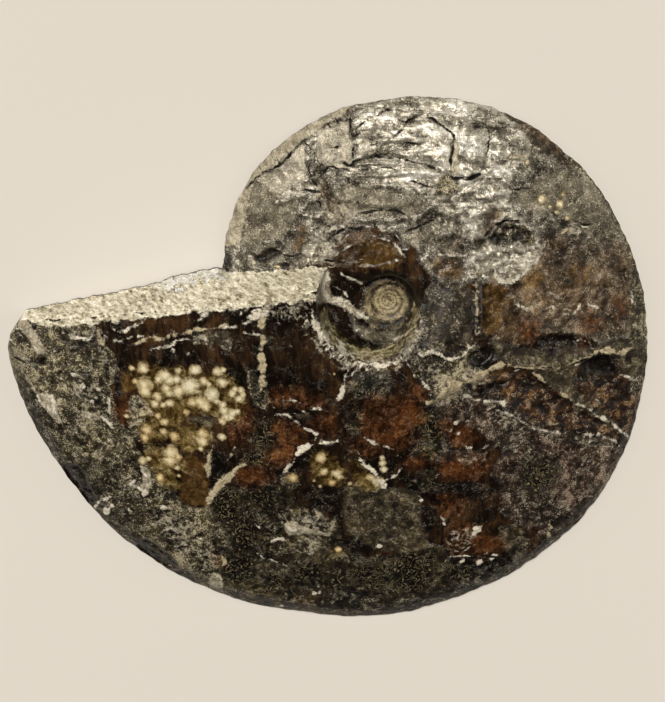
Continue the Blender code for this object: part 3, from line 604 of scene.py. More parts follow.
TAN_VEINS = (
    (1, (-124, -19, -118, -15, -113, -13, -109, -14, -104, -12, -97, -9, -88, -7.5,
           -80, -5.5, -74, -5)),
    (1.2, (-57, 9, -58.5, 4, -60, 0, -60.5, -8, -60.5, -16)),
    (1.9, (-60.4, -17, -60.4, -24, -60.8, -33, -61.4, -37)),
    (1.1, (-61.4, -37, -62, -41, -63, -46)),
    (1.7, (-89.7, -102.6, -87, -98, -85.4, -94.7, -81.9, -89.7, -76.9, -84, -73.6, -81,
           -70, -79)),
    (1, (-85.6, -68.4, -87.4, -73, -88.8, -80, -89.4, -88)),
    (0.3, (-73, -67, -77, -73, -80.4, -79)),
    (1.8, (18, -44, 23, -42, 28, -38, 34, -35)),
    (1.4, (34, -34, 40, -35, 45.7, -31.4, 51.4, -27.4, 57, -28)),
    (1, (57, -28, 61.4, -29.6, 70, -30.4, 77, -30.9)),
    (0.9, (80, -33.6, 85.7, -31.4, 92, -29.3, 96.4, -27, 100.7, -26.4, 103.6, -25)),
    (1.3, (103.6, -25, 106.4, -24.5, 110, -25.7, 114.3, -27, 120.7, -25.7)),
    (0.8, (68.6, -32, 73.6, -36.4, 78.6, -40.7)),
    (0.8, (84.6, -45, 87, -47, 93.6, -51.4, 101.4, -57)),
    (0.5, (78.6, -60, 84.3, -62, 87.9, -63)),
    (1.3, (84, -117, 85, -122, 84, -127, 83, -130)),
    (1.3, (-140.4, -11, -139, -15, -138, -20)),
    (0.9, (41.6, -13, 41, -8, 42, -3, 41.4, 2, 42, 7, 41, 12, 42.6, 17)),
    (0.9, (-40.6, -8.6, -37, -7)),
    (1, (-48.6, -11.4, -47, -13)),
    (2.6, (27, -34, 33, -37)),
    (2, (24, -41, 30, -43)),
    (0.4, (80, 37, 83, 38.4, 85.6, 36.4, 84, 33.6, 80.6, 34)),
    (0.6, (-91, -132, -88, -130.6, -84, -134, -82.4, -139, -85, -143.4)),
    (0.5, (-42, -123, -39.6, -126, -42, -129.6, -39, -132.6)),
    (0.5, (-36.6, -127, -35, -130)),
)
CRACKS = (
    (0.45, (-187, -32, -182, -31.4, -177, -32, -172, -33.5, -167, -31)),
    (0.42, (-70, 50, -67.6, 55, -64.6, 58.6, -62, 60.6, -56, 62.6, -50, 68, -44.6, 74,
            -41.4, 77, -39.4, 75)),
    (0.3, (-19, 90, -18.6, 84, -18.8, 80)),
    (0.45, (-19, 80, -17, 79.2, -14.6, 81)),
    (0.38, (-16, 83, -14, 85.4, -10.6, 87.6, -6, 89, -3, 91, 1, 92)),
    (0.36, (-33, 61, -30.4, 65, -27, 65.6, -24, 64.6, -20, 64.4, -18, 63.5)),
    (0.42, (-24, 68, -20, 67, -18.4, 66, -15, 69.6)),
    (0.3, (-18, 65, -17.6, 70, -17.4, 76)),
    (0.45, (6.6, 85.4, 9.6, 87.4, 13, 88.8, 20, 88.5, 22, 86.4, 26, 84.4, 29.4, 82,
            30, 79, 29.8, 75, 28.6, 70, 28, 66)),
    (0.55, (26, 65, 29, 61.6, 32, 60.2, 36, 60.8, 42, 62.5)),
    (0.55, (44, 33, 46.6, 35.7, 50, 38.4, 53, 39.3, 58.7, 40.4, 64, 39.4)),
    (0.36, (-2, 82.4, 1.4, 80, 3.4, 80.6, 5, 83, 7.4, 85.4, 4, 87.6)),
    (0.3, (-10, 76, -7, 76.5, -5, 78, -4, 76.5)),
    (0.3, (-30, 75.6, -27, 74, -23, 74.6)),
    (0.45, (-30, 30, -25, 35.5, -20, 37, -12, 38)),
    (0.4, (-16, 69.2, -8, 70.6, 0, 70.8, 5, 69.6, 12, 67.6, 21, 66.6)),
    (0.3, (-6, 65.5, -1, 66, 3, 64.8)),
    (0.3, (6, 77.5, 10, 76.5, 15, 76.5)),
    (0.3, (8, 60, 14, 59, 20, 57)),
    (0.22, (-15.6, 66.2, -14, 67, -12.8, 65.6, -14, 64, -15.6, 65)),
    (0.22, (-12.4, 66, -11, 66.6, -10, 65.2, -11.2, 64, -12.4, 65)),
    (0.36, (8, 36, 15, 40, 23, 42)),
    (0.36, (-16, 44.4, -4, 46, 6, 45)),
    (0.36, (-44, 55, -38, 54, -33, 54)),
    (0.42, (-52, 24, -49, 22, -46, 22.4, -42, 24)),
    (0.36, (-34, 22, -28, 22, -22, 20.5)),
    (0.42, (-81, 22.6, -77, 22.4, -73, 22.6)),
    (0.3, (-39, 76, -37.5, 70, -38.5, 62, -35, 56)),
    (0.26, (-36, 75, -35.4, 71, -36.4, 66)),
    (0.3, (-34, 45, -32, 48, -35, 50)),
    (0.26, (-72, 40, -69, 38)), (0.26, (-76, 34, -72, 32)), (0.26, (-70, 46, -68, 43)),
    (0.26, (-62, 64, -60, 61)), (0.26, (-58, 66, -56, 63)), (0.26, (-54, 69, -52, 66.5)),
    (0.26, (-50, 73, -47, 70)), (0.26, (-46, 76, -44, 74)), (0.26, (-30, 86, -28, 83)),
    (0.26, (-26, 88, -23, 84)), (0.26, (-66, 56, -64, 60)), (0.26, (-28, 83, -24, 86)),
    (0.3, (-156, -82, -150, -83.4, -144, -83)),
    (0.3, (-147, -102, -144, -100.6, -141, -99)),
    (0.3, (31, -136.4, 45, -137, 60, -138)),
    (0.26, (58, -28.8, 70, -30, 79, -31.4)),
    (0.3, (46, 60, 50, 61, 54, 60)),
    (0.3, (56, 56, 62, 55, 68, 56)),
    (0.3, (46, 84, 47, 78, 45, 72)),
    (0.3, (88, 38.4, 95, 37.6, 100, 38, 103, 39)),
)

RIDGE_UNEVENNESS = 0.6
PANEL_REACH = 3
WAVINESS = 0.3

# How rough each finish is: the width of its folds, their stretch round the coil, and the heights of
# lumps and folds.
ROUGHNESS = (
    ("matrix", 6, 1, 0.45, 0.1),
    ("grit", 6, 1, 0.45, 0.1),
    ("cavity_crust", 9, 1, 0.6, 0.1),
    ("grey_boss", 12, 1, 0.15, 0),
    ("rim_striae", 4, 1, 0.2, 0.1),
    ("olive_marl", 9, 1, 0.15, 0.05),
    ("fern_suture", 5, 1, 0.2, 0.1),
    ("grey_stone", 9, 1, 0.12, 0),
    ("weathered_shell", 7, 2, 0.4, 0.35),
    ("brown_shell", 8, 1, 0.3, 0.1),
    ("satin_shell", 14, 1, 0.15, 0),
    ("olive_shell", 12, 1, 0.2, 0.1),
    ("silver_shell", 5, 3.5, 0.25, 0.4),
    ("beige_crust", 5, 1, 0.2, 0),
)

FINISH_BLEND = 4
FOLD_RADIUS = 60
# Lines and gaps that stand out or lie deeper: height, the width of the slope, and where it starts.
LINE_HEIGHTS = (
    ("white_vein", 0.15, 1, 0.6),
    ("tan_vein", 0.3, 1, 0.6),
    ("crack", -0.5, 1, 0.5),
    ("black_gap", -0.6, 1.5, 0),
)
# How veins and cracks grow: the step along them, how far they wander, and how they swell and pinch.
VEIN_STEP = 1.2
VEIN_WANDER = 0.8
VEIN_SWELL = (0.75, 0.95)
VEIN_TAPER = 4

# The light rim where the limestone of the ledge breaks away along its front edge, as points in plan.
LEDGE_EDGE = ((-176, -7), (-172, -9.5), (-163, -10.5), (-155, -9), (-147, -7.5), (-140, -6), (-125, -4),
              (-112, -2), (-100, 0), (-92, 2.4), (-85, 3.6), (-75, 5), (-67, 6.6), (-58, 8), (-50, 9.5),
              (-36, 10))
LEDGE_EDGE_HALF_WIDTH = 1.7
LEDGE_EDGE_RAG = 1.3
# The ledge's broken face: the direction of its grain in x and height, and where its roughness fades out.
LEDGE_GRAIN = (0.5, 0.87)
LEDGE_ROUGHNESS = 0.8
LEDGE_FADE = 4
LEDGE_TIP_FADE = (-182, 8)
LEDGE_FOOT_FADE = (3, 0.2)
# White crystals low on the ledge: where they start and end in x, the top of their colour and of their
# bulge, and how far the bulge stands out.
LEDGE_CRYSTALS = (-112, -79)
CRYSTAL_TOP = 11
CRYSTAL_BULGE_TOP = 14
CRYSTAL_BULGE = 2.2
# How quickly the crystals thin out towards their start, end and top, and how ragged they are.
CRYSTAL_SLOPES = (0.3, 0.5, 0.35)
CRYSTAL_RAG = 4
LEDGE_ROCK_DEPTH = 1.5
LEDGE_ROCK_SETBACK = 2

# Up to this angle the brink of the umbilicus already belongs to the last whorl.
LAST_BRINK_ANGLE = 30
# The umbilicus: the part of its lower wall that shows gold, which faces the lamp and is painted pale there as
# a highlight over its golden limestone, with a fringe of white needles and dust beyond its brink (degrees and
# mm), and the inner coil, seen a little to the lower left of its axis.
LIT_GOLDEN_WALL_ANGLES = (195, 345)
GOLDEN_WALL_HALF_WIDTH = 1.1
GOLDEN_WALL_FOOT = 0.35
WALL_END_SLOPE = 0.15
FRINGE_HALF_WIDTH = 1.8
FRINGE_PAST_BRINK = 2.2
FRINGE_DUST = (2, 5)
NEEDLE_WIDTH = 2.0
NEEDLE_GAP = 0.35
COIL_COVER_EDGE = 0.8
COIL_COVER_SHIFT = 1.3
# The coil is darker away from its heart, painted shade from the wall of the cup: by how much, from which
# radius, and over which distance.
COIL_SHADE = (0.8, 4, 9)
# The rim that is ground off at the bottom of the last whorl, painted near black there as the shade of the
# lower rim as well as its striae (degrees and mm).
SHADED_GROUND_RIM_ANGLES = (228, 350)
SHADED_GROUND_RIM_WIDTH = 6

# ---------------- mesh sizes (mm)
SPACING = 1.0
FINE_SPACING = 0.6
FINE_RADIUS = 38.0
LEDGE_SPACING = (1.4, 0.3)
# How far the ledge's fine mesh reaches over the whorl before it, its upper edge and the sawn face.
LEDGE_MESH_BORDERS = (2, 4, 1)
# The gap between the outline and the first points inside it, as a share of the spacing.
EDGE_CLEARANCE = 0.6
SHARP_ANGLE = 60.0
# The sawn back is the mesh's second material.
SAWN_SLOT = 1

# ---------------- stone, light and camera
CALCITE_IOR = 1.55
# Crystal faces a fraction of a millimetre wide scatter most of the reflection of a real stone.
STONE_SPECULAR = 0.18
SEPTA_PER_WHORL = 18

FLOOR_HALF_WIDTH = 14.0
FLOOR_COLOUR = "#c4c1bb"
FLOOR_ROUGHNESS = 0.9
LIGHT_COLOUR = "#fff8ee"
KEY_FROM = (-0.2, 0.62, 1.1)
KEY_ANGLE = 26.0
KEY_STRENGTH = 4.15
SOFTBOXES = (("left", (-1.3, 0.1, 0.6)), ("right", (1.3, 0.2, 0.6)))
SOFTBOX_SIDE = 0.6
SOFTBOX_WATTS = 4
FILL_STRENGTH = 0.07
BACKDROP_STRENGTH = 0.62
VIEW_TILT = 18.0
VIEW_DISTANCE = 0.75
VIEW_LENS = 76.9
VIEW_SHIFT_FROM_CENTRE = (0.0024, 0.0101)

VENTER_TURNS = 15 * np.arange(len(VENTER_RADII))
MARGIN_TURNS = 30 * np.arange(len(MARGIN_RADII))
SHELF_ANGLES = 30 * np.arange(len(SHELF_BRINK))


# ================ the form
def smooth(stations, values, at):
    """Reads a smooth curve through the given values."""
    stations = np.asarray(stations, float)
    values = np.asarray(values, float)
    slopes = np.gradient(values, stations)
    at = np.clip(at, stations[0], stations[-1])
    left = np.clip(np.searchsorted(stations, at, side="right") - 1, 0, len(stations) - 2)
    step = stations[left + 1] - stations[left]
    t = (at - stations[left]) / step
    start = (2 * t**3 - 3 * t**2 + 1) * values[left] + (t**3 - 2 * t**2 + t) * step * slopes[left]
    end = (3 * t**2 - 2 * t**3) * values[left + 1] + (t**3 - t**2) * step * slopes[left + 1]
    return start + end


def ease(t):
    """Rises smoothly from 0 to 1."""
    t = np.clip(t, 0, 1)
    return t * t * (3 - 2 * t)


def distance_to_line(x, y, line):
    """Distance in plan from each point to a run of straight stretches."""
    nearest = np.full(np.shape(x), np.inf)
    for (ax, ay), (bx, by) in zip(line[:-1], line[1:]):
        dx = bx - ax
        dy = by - ay
        t = np.clip(((x - ax) * dx + (y - ay) * dy) / (dx * dx + dy * dy), 0, 1)
        nearest = np.minimum(nearest, np.hypot(x - ax - t * dx, y - ay - t * dy))
    return nearest


def depth_inside(x, y, outline):
    """Distance in plan from the outline, positive inside it and negative outside."""
    closed = list(outline) + [outline[0]]
    inside = np.zeros(np.shape(x), bool)
    for (ax, ay), (bx, by) in zip(closed[:-1], closed[1:]):
        if ay == by:
            continue
        crosses = (ay > y) != (by > y)
        inside ^= crosses & (x < ax + (y - ay) * (bx - ax) / (by - ay))
    return np.where(inside, 1, -1) * distance_to_line(x, y, closed)


def rounded(line, closed):
    """A run of x, y, x, y ... with its corners cut twice, so that it bends as a grown or broken edge."""
    points = np.reshape(line, (-1, 2)).astype(float)
    for _ in range(2):
        nexts = np.roll(points, -1, axis=0)
        pairs = np.stack([points * 0.75 + nexts * 0.25, points * 0.25 + nexts * 0.75], axis=1)
        if closed:
            points = pairs.reshape(-1, 2)
        else:
            points = np.concatenate([points[:1], pairs[:-1].reshape(-1, 2), points[-1:]])
    return [tuple(p) for p in points]


def polar(turn, radius):
    """The place in plan at a turn and a radius."""
    angle = math.radians(turn)
    return (-radius * math.cos(angle), radius * math.sin(angle))


def angle_at(x, y):
    """The clockwise angle from -X, in degrees."""
    return np.degrees(np.arctan2(y, -x)) % 360


def venter(turn):
    """Radius of the outer edge of the whorl, where the spiral has turned this far."""
    return smooth(VENTER_TURNS, VENTER_RADII, turn)


def margin(turn):
    """Radius of the brink of the umbilicus."""
    return smooth(MARGIN_TURNS, MARGIN_RADII, turn)


def coil_band(radius, turn):
    """The swell of the inner whorls, a small log spiral: 0 in the suture and 1 on the middle of a band."""
    whorls = np.log(np.maximum(radius, COIL_CORE) / COIL_RADIUS) / math.log(COIL_SHRINK) + turn / 360
    return np.sin(math.pi * (whorls % 1.0))


def coil(radius, turn):
    """Height of the inner whorls: swollen bands on a shallow bowl."""
    return COIL_FLOOR + COIL_RISE * radius + COIL_SWELL * np.sqrt(coil_band(radius, turn))


def whorl(radius, turn, angle):
    """Height of a whorl from the inner coil out to the venter.

    The turn angle sets the whorl's size, and the plain angle sets where on the shelf and coil it is.
    """
    outer = venter(turn)
    inner = margin(turn)
    station = (radius - inner) / (outer - inner)
    thickness = THICKNESS_SHARE * outer
    flank = thickness * smooth(FLANK_STATIONS, FLANK_SHARES, station)
    foot = inner - WALL_WIDTH
    brink = smooth(SHELF_ANGLES, SHELF_BRINK, angle)
    coil_edge = COIL_FLOOR + COIL_RISE * COIL_RADIUS
    shelf_share = np.clip((radius - COIL_RADIUS) / np.maximum(foot - COIL_RADIUS, 1), 0, 1)
    shelf = coil_edge + (brink - coil_edge) * shelf_share
    floor = np.where(radius < COIL_RADIUS, coil(radius, angle), shelf)
    wall = floor + (flank - floor) * np.clip((radius - foot) / WALL_WIDTH, 0, 1) ** 1.5
    return np.where(radius < inner, wall, flank)


def ledge_height(x, y):
    """Height of the ledge's plane above a point in plan."""
    foot_y = LEDGE_CORNER[1] + LEDGE_RISE * (x - LEDGE_CORNER[0])
    return (foot_y - y) / LEDGE_LEAN


def whorl_before(x, y):
    """Height of the whorl that the ledge stands beside, at the start of the spiral."""
    angle = angle_at(x, y)
    radius = np.hypot(x, y)
    return np.where(radius > venter(angle) + 1, 0, whorl(radius, angle, angle))


def last_whorl(x, y):
    """Height of the last whorl, carried on past its end until the ledge cuts it off."""
    angle = angle_at(x, y)
    turn = np.where(angle < LEDGE_SECTOR, angle + 360, angle)
    return whorl(np.hypot(x, y), turn, angle)


def beside_ledge(angle):
    """True within the sector that the ledge stands in."""
    return (angle < LEDGE_SECTOR) | (angle > 360 - LEDGE_SECTOR)


def form(x, y):
    """The whole form without its relief: the last whorl, the ledge and the whorl before it."""
    angle = angle_at(x, y)
    cut_off = np.minimum(last_whorl(x, y), ledge_height(x, y))
    stepped = np.where(angle < 180, np.maximum(whorl_before(x, y), cut_off), cut_off)
    return np.where(beside_ledge(angle), stepped, whorl(np.hypot(x, y), angle, angle))


def pit(x, y):
    """An oval hollow, steep on its upper left side, with a low lip on the lower right."""
    angle = math.radians(PIT_TILT)
    u = (x - PIT_CENTRE[0]) * math.cos(angle) + (y - PIT_CENTRE[1]) * math.sin(angle)
    v = (y - PIT_CENTRE[1]) * math.cos(angle) - (x - PIT_CENTRE[0]) * math.sin(angle)
    reach = np.hypot(u / PIT_RADII[0], v / PIT_RADII[1]) + PIT_RAG * noise(x, y, 9, seed=17)
    width = min(PIT_RADII)
    upper_left = ease(0.5 + (v - u) / (2 * width))
    bowl = ease((1 - reach) * width / (PIT_EDGE * (PIT_SLACK - PIT_STEEPENING * upper_left)))
    lip = ease(1 - np.abs(reach - 1) * width / PIT_EDGE) * (1 - upper_left)
    deep = PIT_SHALLOW_SHARE + (1 - PIT_SHALLOW_SHARE) * upper_left
    return PIT_LIP * lip - PIT_DEPTH * bowl * (deep + PIT_WRINKLE * noise(x, y, 5, seed=18))


def noise(x, y, size, seed, octaves=4, ridged=False):
    """Smooth random hills, about -1 to 1; size is the width of the broadest ones in millimetres.

    Ridged ones fold back at zero, which leaves sharp crests as crumpled foil has.
    """
    cells = NOISE_CELLS
    angles = np.random.default_rng(seed).uniform(0, 2 * math.pi, (cells, cells))
    total = np.zeros(np.shape(x))
    for octave in range(octaves):
        u = x / size * 2**octave + OCTAVE_SHIFT[0] * octave
        v = y / size * 2**octave + OCTAVE_SHIFT[1] * octave
        column = np.floor(u).astype(int)
        row = np.floor(v).astype(int)
        u = u - column
        v = v - row
        s = u**3 * (u * (6 * u - 15) + 10)
        t = v**3 * (v * (6 * v - 15) + 10)

        def corner(across, along):
            slope = angles[(row + along) % cells, (column + across) % cells]
            return np.cos(slope) * (u - across) + np.sin(slope) * (v - along)

        low = corner(0, 0) * (1 - s) + corner(1, 0) * s
        high = corner(0, 1) * (1 - s) + corner(1, 1) * s
        hills = NOISE_HEIGHT * (low * (1 - t) + high * t)
        if ridged:
            hills = 1 - 3 * np.abs(hills)
        total += hills * 0.5**octave
    return total


def near(x, y, line, reach, outside, measure):
    """Measures only the points within reach of a line's box; the others get a fixed value."""
    points = np.asarray(line)
    low = points.min(axis=0) - reach
    high = points.max(axis=0) + reach
    close = (x > low[0]) & (x < high[0]) & (y > low[1]) & (y < high[1])
    found = np.full(np.shape(x), float(outside))
    found[close] = measure(x[close], y[close], line)
    return found


def area_depth(x, y, outlines):
    """Depth inside the nearest of several outlines, at least -FAR."""
    depth = np.full(np.shape(x), -FAR)
    for outline in outlines:
        depth = np.maximum(depth, near(x, y, rounded(outline, True), FAR, -FAR, depth_inside))
    return depth


def grown(line, half_width):
    """A vein or crack as it grew: it wanders, swells and pinches, and thins out at its ends."""
    path = np.array(spaced(rounded(line, False), VEIN_STEP))
    px, py = path.T
    sideways = [noise(px, py, 6, seed, octaves=3) for seed in (11, 12)]
    path = path + VEIN_WANDER * np.stack(sideways, axis=1)
    steps = np.arange(len(path))
    ends = ease(np.minimum(steps, steps[::-1]) / VEIN_TAPER + 0.3)
    mean, swing = VEIN_SWELL
    return path, half_width * ends * (mean + swing * noise(px, py, 5, seed=13))


def line_depth(x, y, lines):
    """Depth inside the nearest of several veins or cracks, at least -FAR."""
    depth = np.full(np.shape(x), -FAR)
    for half_width, line in lines:
        path, widths = grown(line, half_width)
        for start, end, width in zip(path[:-1], path[1:], widths):
            away = near(x, y, (start, end), LINE_REACH, FAR, distance_to_line)
            depth = np.maximum(depth, width - away)
    return depth


def spot_depth(x, y, spots):
    """Depth inside the nearest of several round spots, at least -FAR."""
    depth = np.full(np.shape(x), -FAR)
    for cx, cy, radius in spots:
        depth = np.maximum(depth, radius - np.hypot(x - cx, y - cy))
    return depth


def relief(x, y, cover):
    """Ridges, creases, panels, the pit and each finish's own roughness, as heights on the form.

    Also hands back how far each place stands on a crest of its own finish, which the colour uses to paint
    highlight on crests and shade in hollows.
    """
    height = pit(x, y)
    ragged = noise(x, y, 7, seed=14)
    for line, reach, rise in RIDGES:
        away = near(x, y, rounded(line, False), reach, reach, distance_to_line)
        height += rise * ease(1 - away / reach) * (1 + RIDGE_UNEVENNESS * ragged)
    for outline, edge, rise in PANELS:
        depth = near(x, y, rounded(outline, True), PANEL_REACH, -PANEL_REACH, depth_inside)
        height += rise * ease((depth + ragged) / edge)
    crest = np.zeros(np.shape(x))
    for name, size, stretch, rise, crumple in ROUGHNESS:
        here = ease(cover[name] / FINISH_BLEND + 0.5)
        close = here > 0
        here = here[close]
        u = x[close]
        v = y[close]
        lumps = noise(u, v, size * 0.6, seed=3)
        if stretch > 1:
            u, v = np.radians(angle_at(u, v)) * FOLD_RADIUS / stretch, np.hypot(u, v)
        bend = 0.5 * size * noise(u, v, size * 2, seed=6, octaves=2)
        folds = noise(u + bend, v + bend, size, seed=2, ridged=True)
        height[close] += here * (rise * lumps + crumple * folds)
        crest[close] = crest[close] * (1 - here) + here * (0.6 * folds + 0.4 * lumps)
    height += WAVINESS * noise(x, y, 45, seed=5, octaves=2)
    for name, rise, slope, start in LINE_HEIGHTS:
        height += rise * ease(cover[name] / slope + start)
    return height, crest


def surface(x, y, cover):
    """Height of the finished face, and its crests. Relief fades out towards the rim and on the ledge."""
    base = form(x, y)
    off_ledge = ease(np.abs(base - ledge_height(x, y)) / RELIEF_FADE)
    room = np.where(beside_ledge(angle_at(x, y)), off_ledge, 1) * ease(base / EDGE_FADE)
    raised, crest = relief(x, y, cover)
    return np.maximum(base + raised * room, EDGE_THICKNESS), crest


# ================ the mesh
def spaced(points, spacing):
    """Points at equal steps along a run of straight stretches, with both ends."""
    points = np.asarray(points, float)
    along = np.concatenate([[0], np.cumsum(np.hypot(*np.diff(points, axis=0).T))])
    count = max(int(round(along[-1] / spacing)), 1)
    stops = np.linspace(0, along[-1], count + 1)
    return list(zip(np.interp(stops, along, points[:, 0]), np.interp(stops, along, points[:, 1])))


def sawn_outline(spacing):
    """The outline of the sawn face, with small chips along the venter."""
    turns = np.linspace(SPIRAL_START_TURN, SPIRAL_END_TURN, OUTLINE_STEPS)
    chips = sum(rise * noise(turns, turns * 0, *size) for rise, *size in RIM_CHIPS) - RIM_WEAR
    spiral = spaced([polar(t, float(venter(t)) + c) for t, c in zip(turns, chips)], spacing)
    tip = spaced([spiral[-1], *BROKEN_TIP], spacing)
    foot = spaced([tip[-1], spiral[0]], spacing)
    return spiral + tip[1:] + foot[1:-1]


def inside_lattice(spacing, outline, slant=0.0, squeeze=1.0):
    """Evenly spread points inside the outline; slant leans the rows and squeeze brings them closer."""
    corners = np.asarray(outline)
    low_x, low_y = corners.min(axis=0)
    high_x, high_y = corners.max(axis=0)
    row_height = spacing * squeeze * math.sqrt(3) / 2
    xs, rows = np.meshgrid(np.arange(low_x, high_x, spacing), np.arange(low_y, high_y, row_height))
    xs = xs + (np.arange(len(rows)) % 2)[:, None] * spacing / 2
    ys = rows + slant * (xs - low_x)
    return xs.ravel(), ys.ravel()


def flank_points(outline):
    """Points over the whole face: fine in the umbilicus and on the steep ledge, even elsewhere."""
    coarse_outline = [tuple(p) for p in outline[::2]]
    clear = partial(depth_inside, outline=coarse_outline)
    x, y = inside_lattice(SPACING, outline)
    steep = on_ledge_wall(x, y)
    keep = (np.hypot(x, y) >= FINE_RADIUS) & ~steep & (clear(x, y) > SPACING * EDGE_CLEARANCE)
    chosen = [np.stack([x[keep], y[keep]], axis=1)]
    x, y = inside_lattice(FINE_SPACING, outline)
    keep = (np.hypot(x, y) < FINE_RADIUS) & ~on_ledge_wall(x, y)
    chosen.append(np.stack([x[keep], y[keep]], axis=1))
    along, across = LEDGE_SPACING
    x, y = inside_lattice(along, outline, LEDGE_RISE, across / along)
    keep = on_ledge_wall(x, y) & (clear(x, y) > across * EDGE_CLEARANCE)
    chosen.append(np.stack([x[keep], y[keep]], axis=1))
    return np.concatenate(chosen)


def on_ledge_wall(x, y):
    """True where the face is the ledge's own steep plane, with a small border."""
    height = ledge_height(x, y)
    angle = angle_at(x, y)
    before = np.where(angle < 180, whorl_before(x, y), 0)
    foot, top, bottom = LEDGE_MESH_BORDERS
    on_wall = (height > before - foot) & (height < last_whorl(x, y) + top)
    return on_wall & beside_ledge(angle) & (x < LEDGE_END_X) & (height > -bottom)


def ledge_push(x, y, height):
    """How far the ledge's face stands out: coarse slanting grain, and a low ledge of crystals."""
    away = np.abs(ledge_height(x, y) - height) * LEDGE_LEAN
    on_ledge = beside_ledge(angle_at(x, y)) & (x < LEDGE_END_X)
    weight = np.where(on_ledge, 1 - ease(away / LEDGE_FADE), 0)
    tip, tip_fade = LEDGE_TIP_FADE
    foot_fade, foot_share = LEDGE_FOOT_FADE
    weight *= ease((x - tip) / tip_fade) * ease(height / foot_fade + foot_share)
    lean, rise = LEDGE_GRAIN
    along = lean * x + rise * height
    across = lean * height - rise * x
    grain = noise(along / 3, across, 3.5, seed=8) + 0.5 * noise(x, height, 12, seed=9, octaves=3)
    first, last = LEDGE_CRYSTALS
    crystals = ease((x - first) / 4) * ease((last - x) / 3) * ease((CRYSTAL_BULGE_TOP - height) / 3)
    crystals *= CRYSTAL_BULGE * (1 + 0.4 * noise(x, height, 4, seed=10, octaves=3))
    return weight * (LEDGE_ROUGHNESS * grain + crystals)


def plan_mesh():
    """The face as triangles in plan: x, y and the corners of each triangle."""
    outline = sawn_outline(SPACING)
    loose = flank_points(outline)
    points = [Vector(p) for p in outline] + [Vector(p) for p in loose.tolist()]
    edges = [(i, (i + 1) % len(outline)) for i in range(len(outline))]
    found = delaunay_2d_cdt(points, edges, [], 1, 1e-4)
    plan = np.array([tuple(v) for v in found[0]])
    return plan[:, 0], plan[:, 1], found[2]


def add_rosettes(cover, x, y):
    """Rosettes: 1 at the heart of each and below 0 outside it, with its share of gold."""
    gold = np.zeros(np.shape(x))
    nearest = np.full(np.shape(x), -FAR)
    for cx, cy, radius, share in ROSETTES:
        depth = 1 - np.hypot(x - cx, y - cy) / (ROSETTE_FADE * radius)
        gold = np.where(depth > nearest, share, gold)
        nearest = np.maximum(nearest, depth)
    cover["rosette"] = nearest
    cover["rosette_gold"] = gold


def add_ledge(cover, x, y):
    """The broken rock of the ledge, its light front edge, and the crystals low on it."""
    base = form(x, y)
    on_ledge = beside_ledge(angle_at(x, y)) & (x < LEDGE_END_X - LEDGE_ROCK_SETBACK)
    wall = np.where(on_ledge, LEDGE_ROCK_DEPTH - np.abs(base - ledge_height(x, y)), -FAR)
    front = near(x, y, LEDGE_EDGE, FAR, FAR, distance_to_line) + LEDGE_EDGE_RAG * noise(x, y, 5, 15, 3)
    cover["ledge_rock"] = np.maximum(np.maximum(wall, LEDGE_EDGE_HALF_WIDTH - front), -FAR)
    first, last = LEDGE_CRYSTALS
    edges = (x - first, last - x, CRYSTAL_TOP - base)
    crust = np.minimum.reduce([edge * slope for edge, slope in zip(edges, CRYSTAL_SLOPES)])
    cover["foot_crystal"] = np.where(wall > 0, crust + CRYSTAL_RAG * noise(x, base, 6, seed=16), -FAR)


def add_umbilicus(cover, x, y):
    """The golden lower wall, painted pale only on the side that faces the lamp as a highlight, with its
    fringe of white needles and dust, and the inner coil.
    """
    radius = np.hypot(x, y)
    angle = angle_at(x, y)
    brink = margin(np.where(angle < LAST_BRINK_ANGLE, angle + 360, angle))
    # The golden, pale wall is kept to the lower side, which faces the lamp: painted highlight.
    start, end = LIT_GOLDEN_WALL_ANGLES
    lower = np.minimum(angle - start, end - angle) * WALL_END_SLOPE
    wall = GOLDEN_WALL_HALF_WIDTH - np.abs(radius - brink + WALL_WIDTH * GOLDEN_WALL_FOOT)
    cover["lit_umbilical_wall"] = np.maximum(np.minimum(wall, lower + 2), -FAR)
    fringe = np.minimum(FRINGE_HALF_WIDTH - np.abs(radius - brink - FRINGE_PAST_BRINK), lower)
    needles = 2 * noise(angle, radius / 4, NEEDLE_WIDTH, seed=7, octaves=2) - NEEDLE_GAP
    cover["white_vein"] = np.maximum(cover["white_vein"], np.minimum(fringe, needles))
    steepness, spread = FRINGE_DUST
    cover["frost"] = np.maximum(cover["frost"], steepness * fringe + spread)
    # Shifted to the lower left, partly so that the painted shadow crescent shows at the coil's upper right.
    from_axis = np.hypot(x + COIL_COVER_SHIFT, y + COIL_COVER_SHIFT)
    cover["inner_coil"] = COIL_RADIUS - COIL_COVER_EDGE - from_axis
    shade, start, reach = COIL_SHADE
    cover["coil_band"] = coil_band(radius, angle) - shade * ease((radius - start) / reach)


def cover_of(x, y):
    """How deep each point lies inside each finish, in millimetres."""
    cover = {name: area_depth(x, y, outlines) for name, outlines in AREAS.items()}
    cover["crystal_haze"] = area_depth(x, y, HAZE)
    cover["frost"] = area_depth(x, y, FROST)
    cover["white_vein"] = np.maximum(line_depth(x, y, WHITE_VEINS), spot_depth(x, y, WHITE_SPOTS))
    cover["tan_vein"] = line_depth(x, y, TAN_VEINS)
    cover["crack"] = line_depth(x, y, CRACKS)
    add_rosettes(cover, x, y)
    add_ledge(cover, x, y)
    add_umbilicus(cover, x, y)
    angle = angle_at(x, y)
    # The lower rim, which faces away from the lamp, takes the near-black rim finish: ground striae and
    # painted shade.
    start, end = SHADED_GROUND_RIM_ANGLES
    from_venter = venter(angle) - np.hypot(x, y)
    ground = np.minimum(SHADED_GROUND_RIM_WIDTH - from_venter, np.minimum(angle - start, end - angle))
    cover["rim_striae"] = np.maximum(cover["rim_striae"], ground)
    return cover


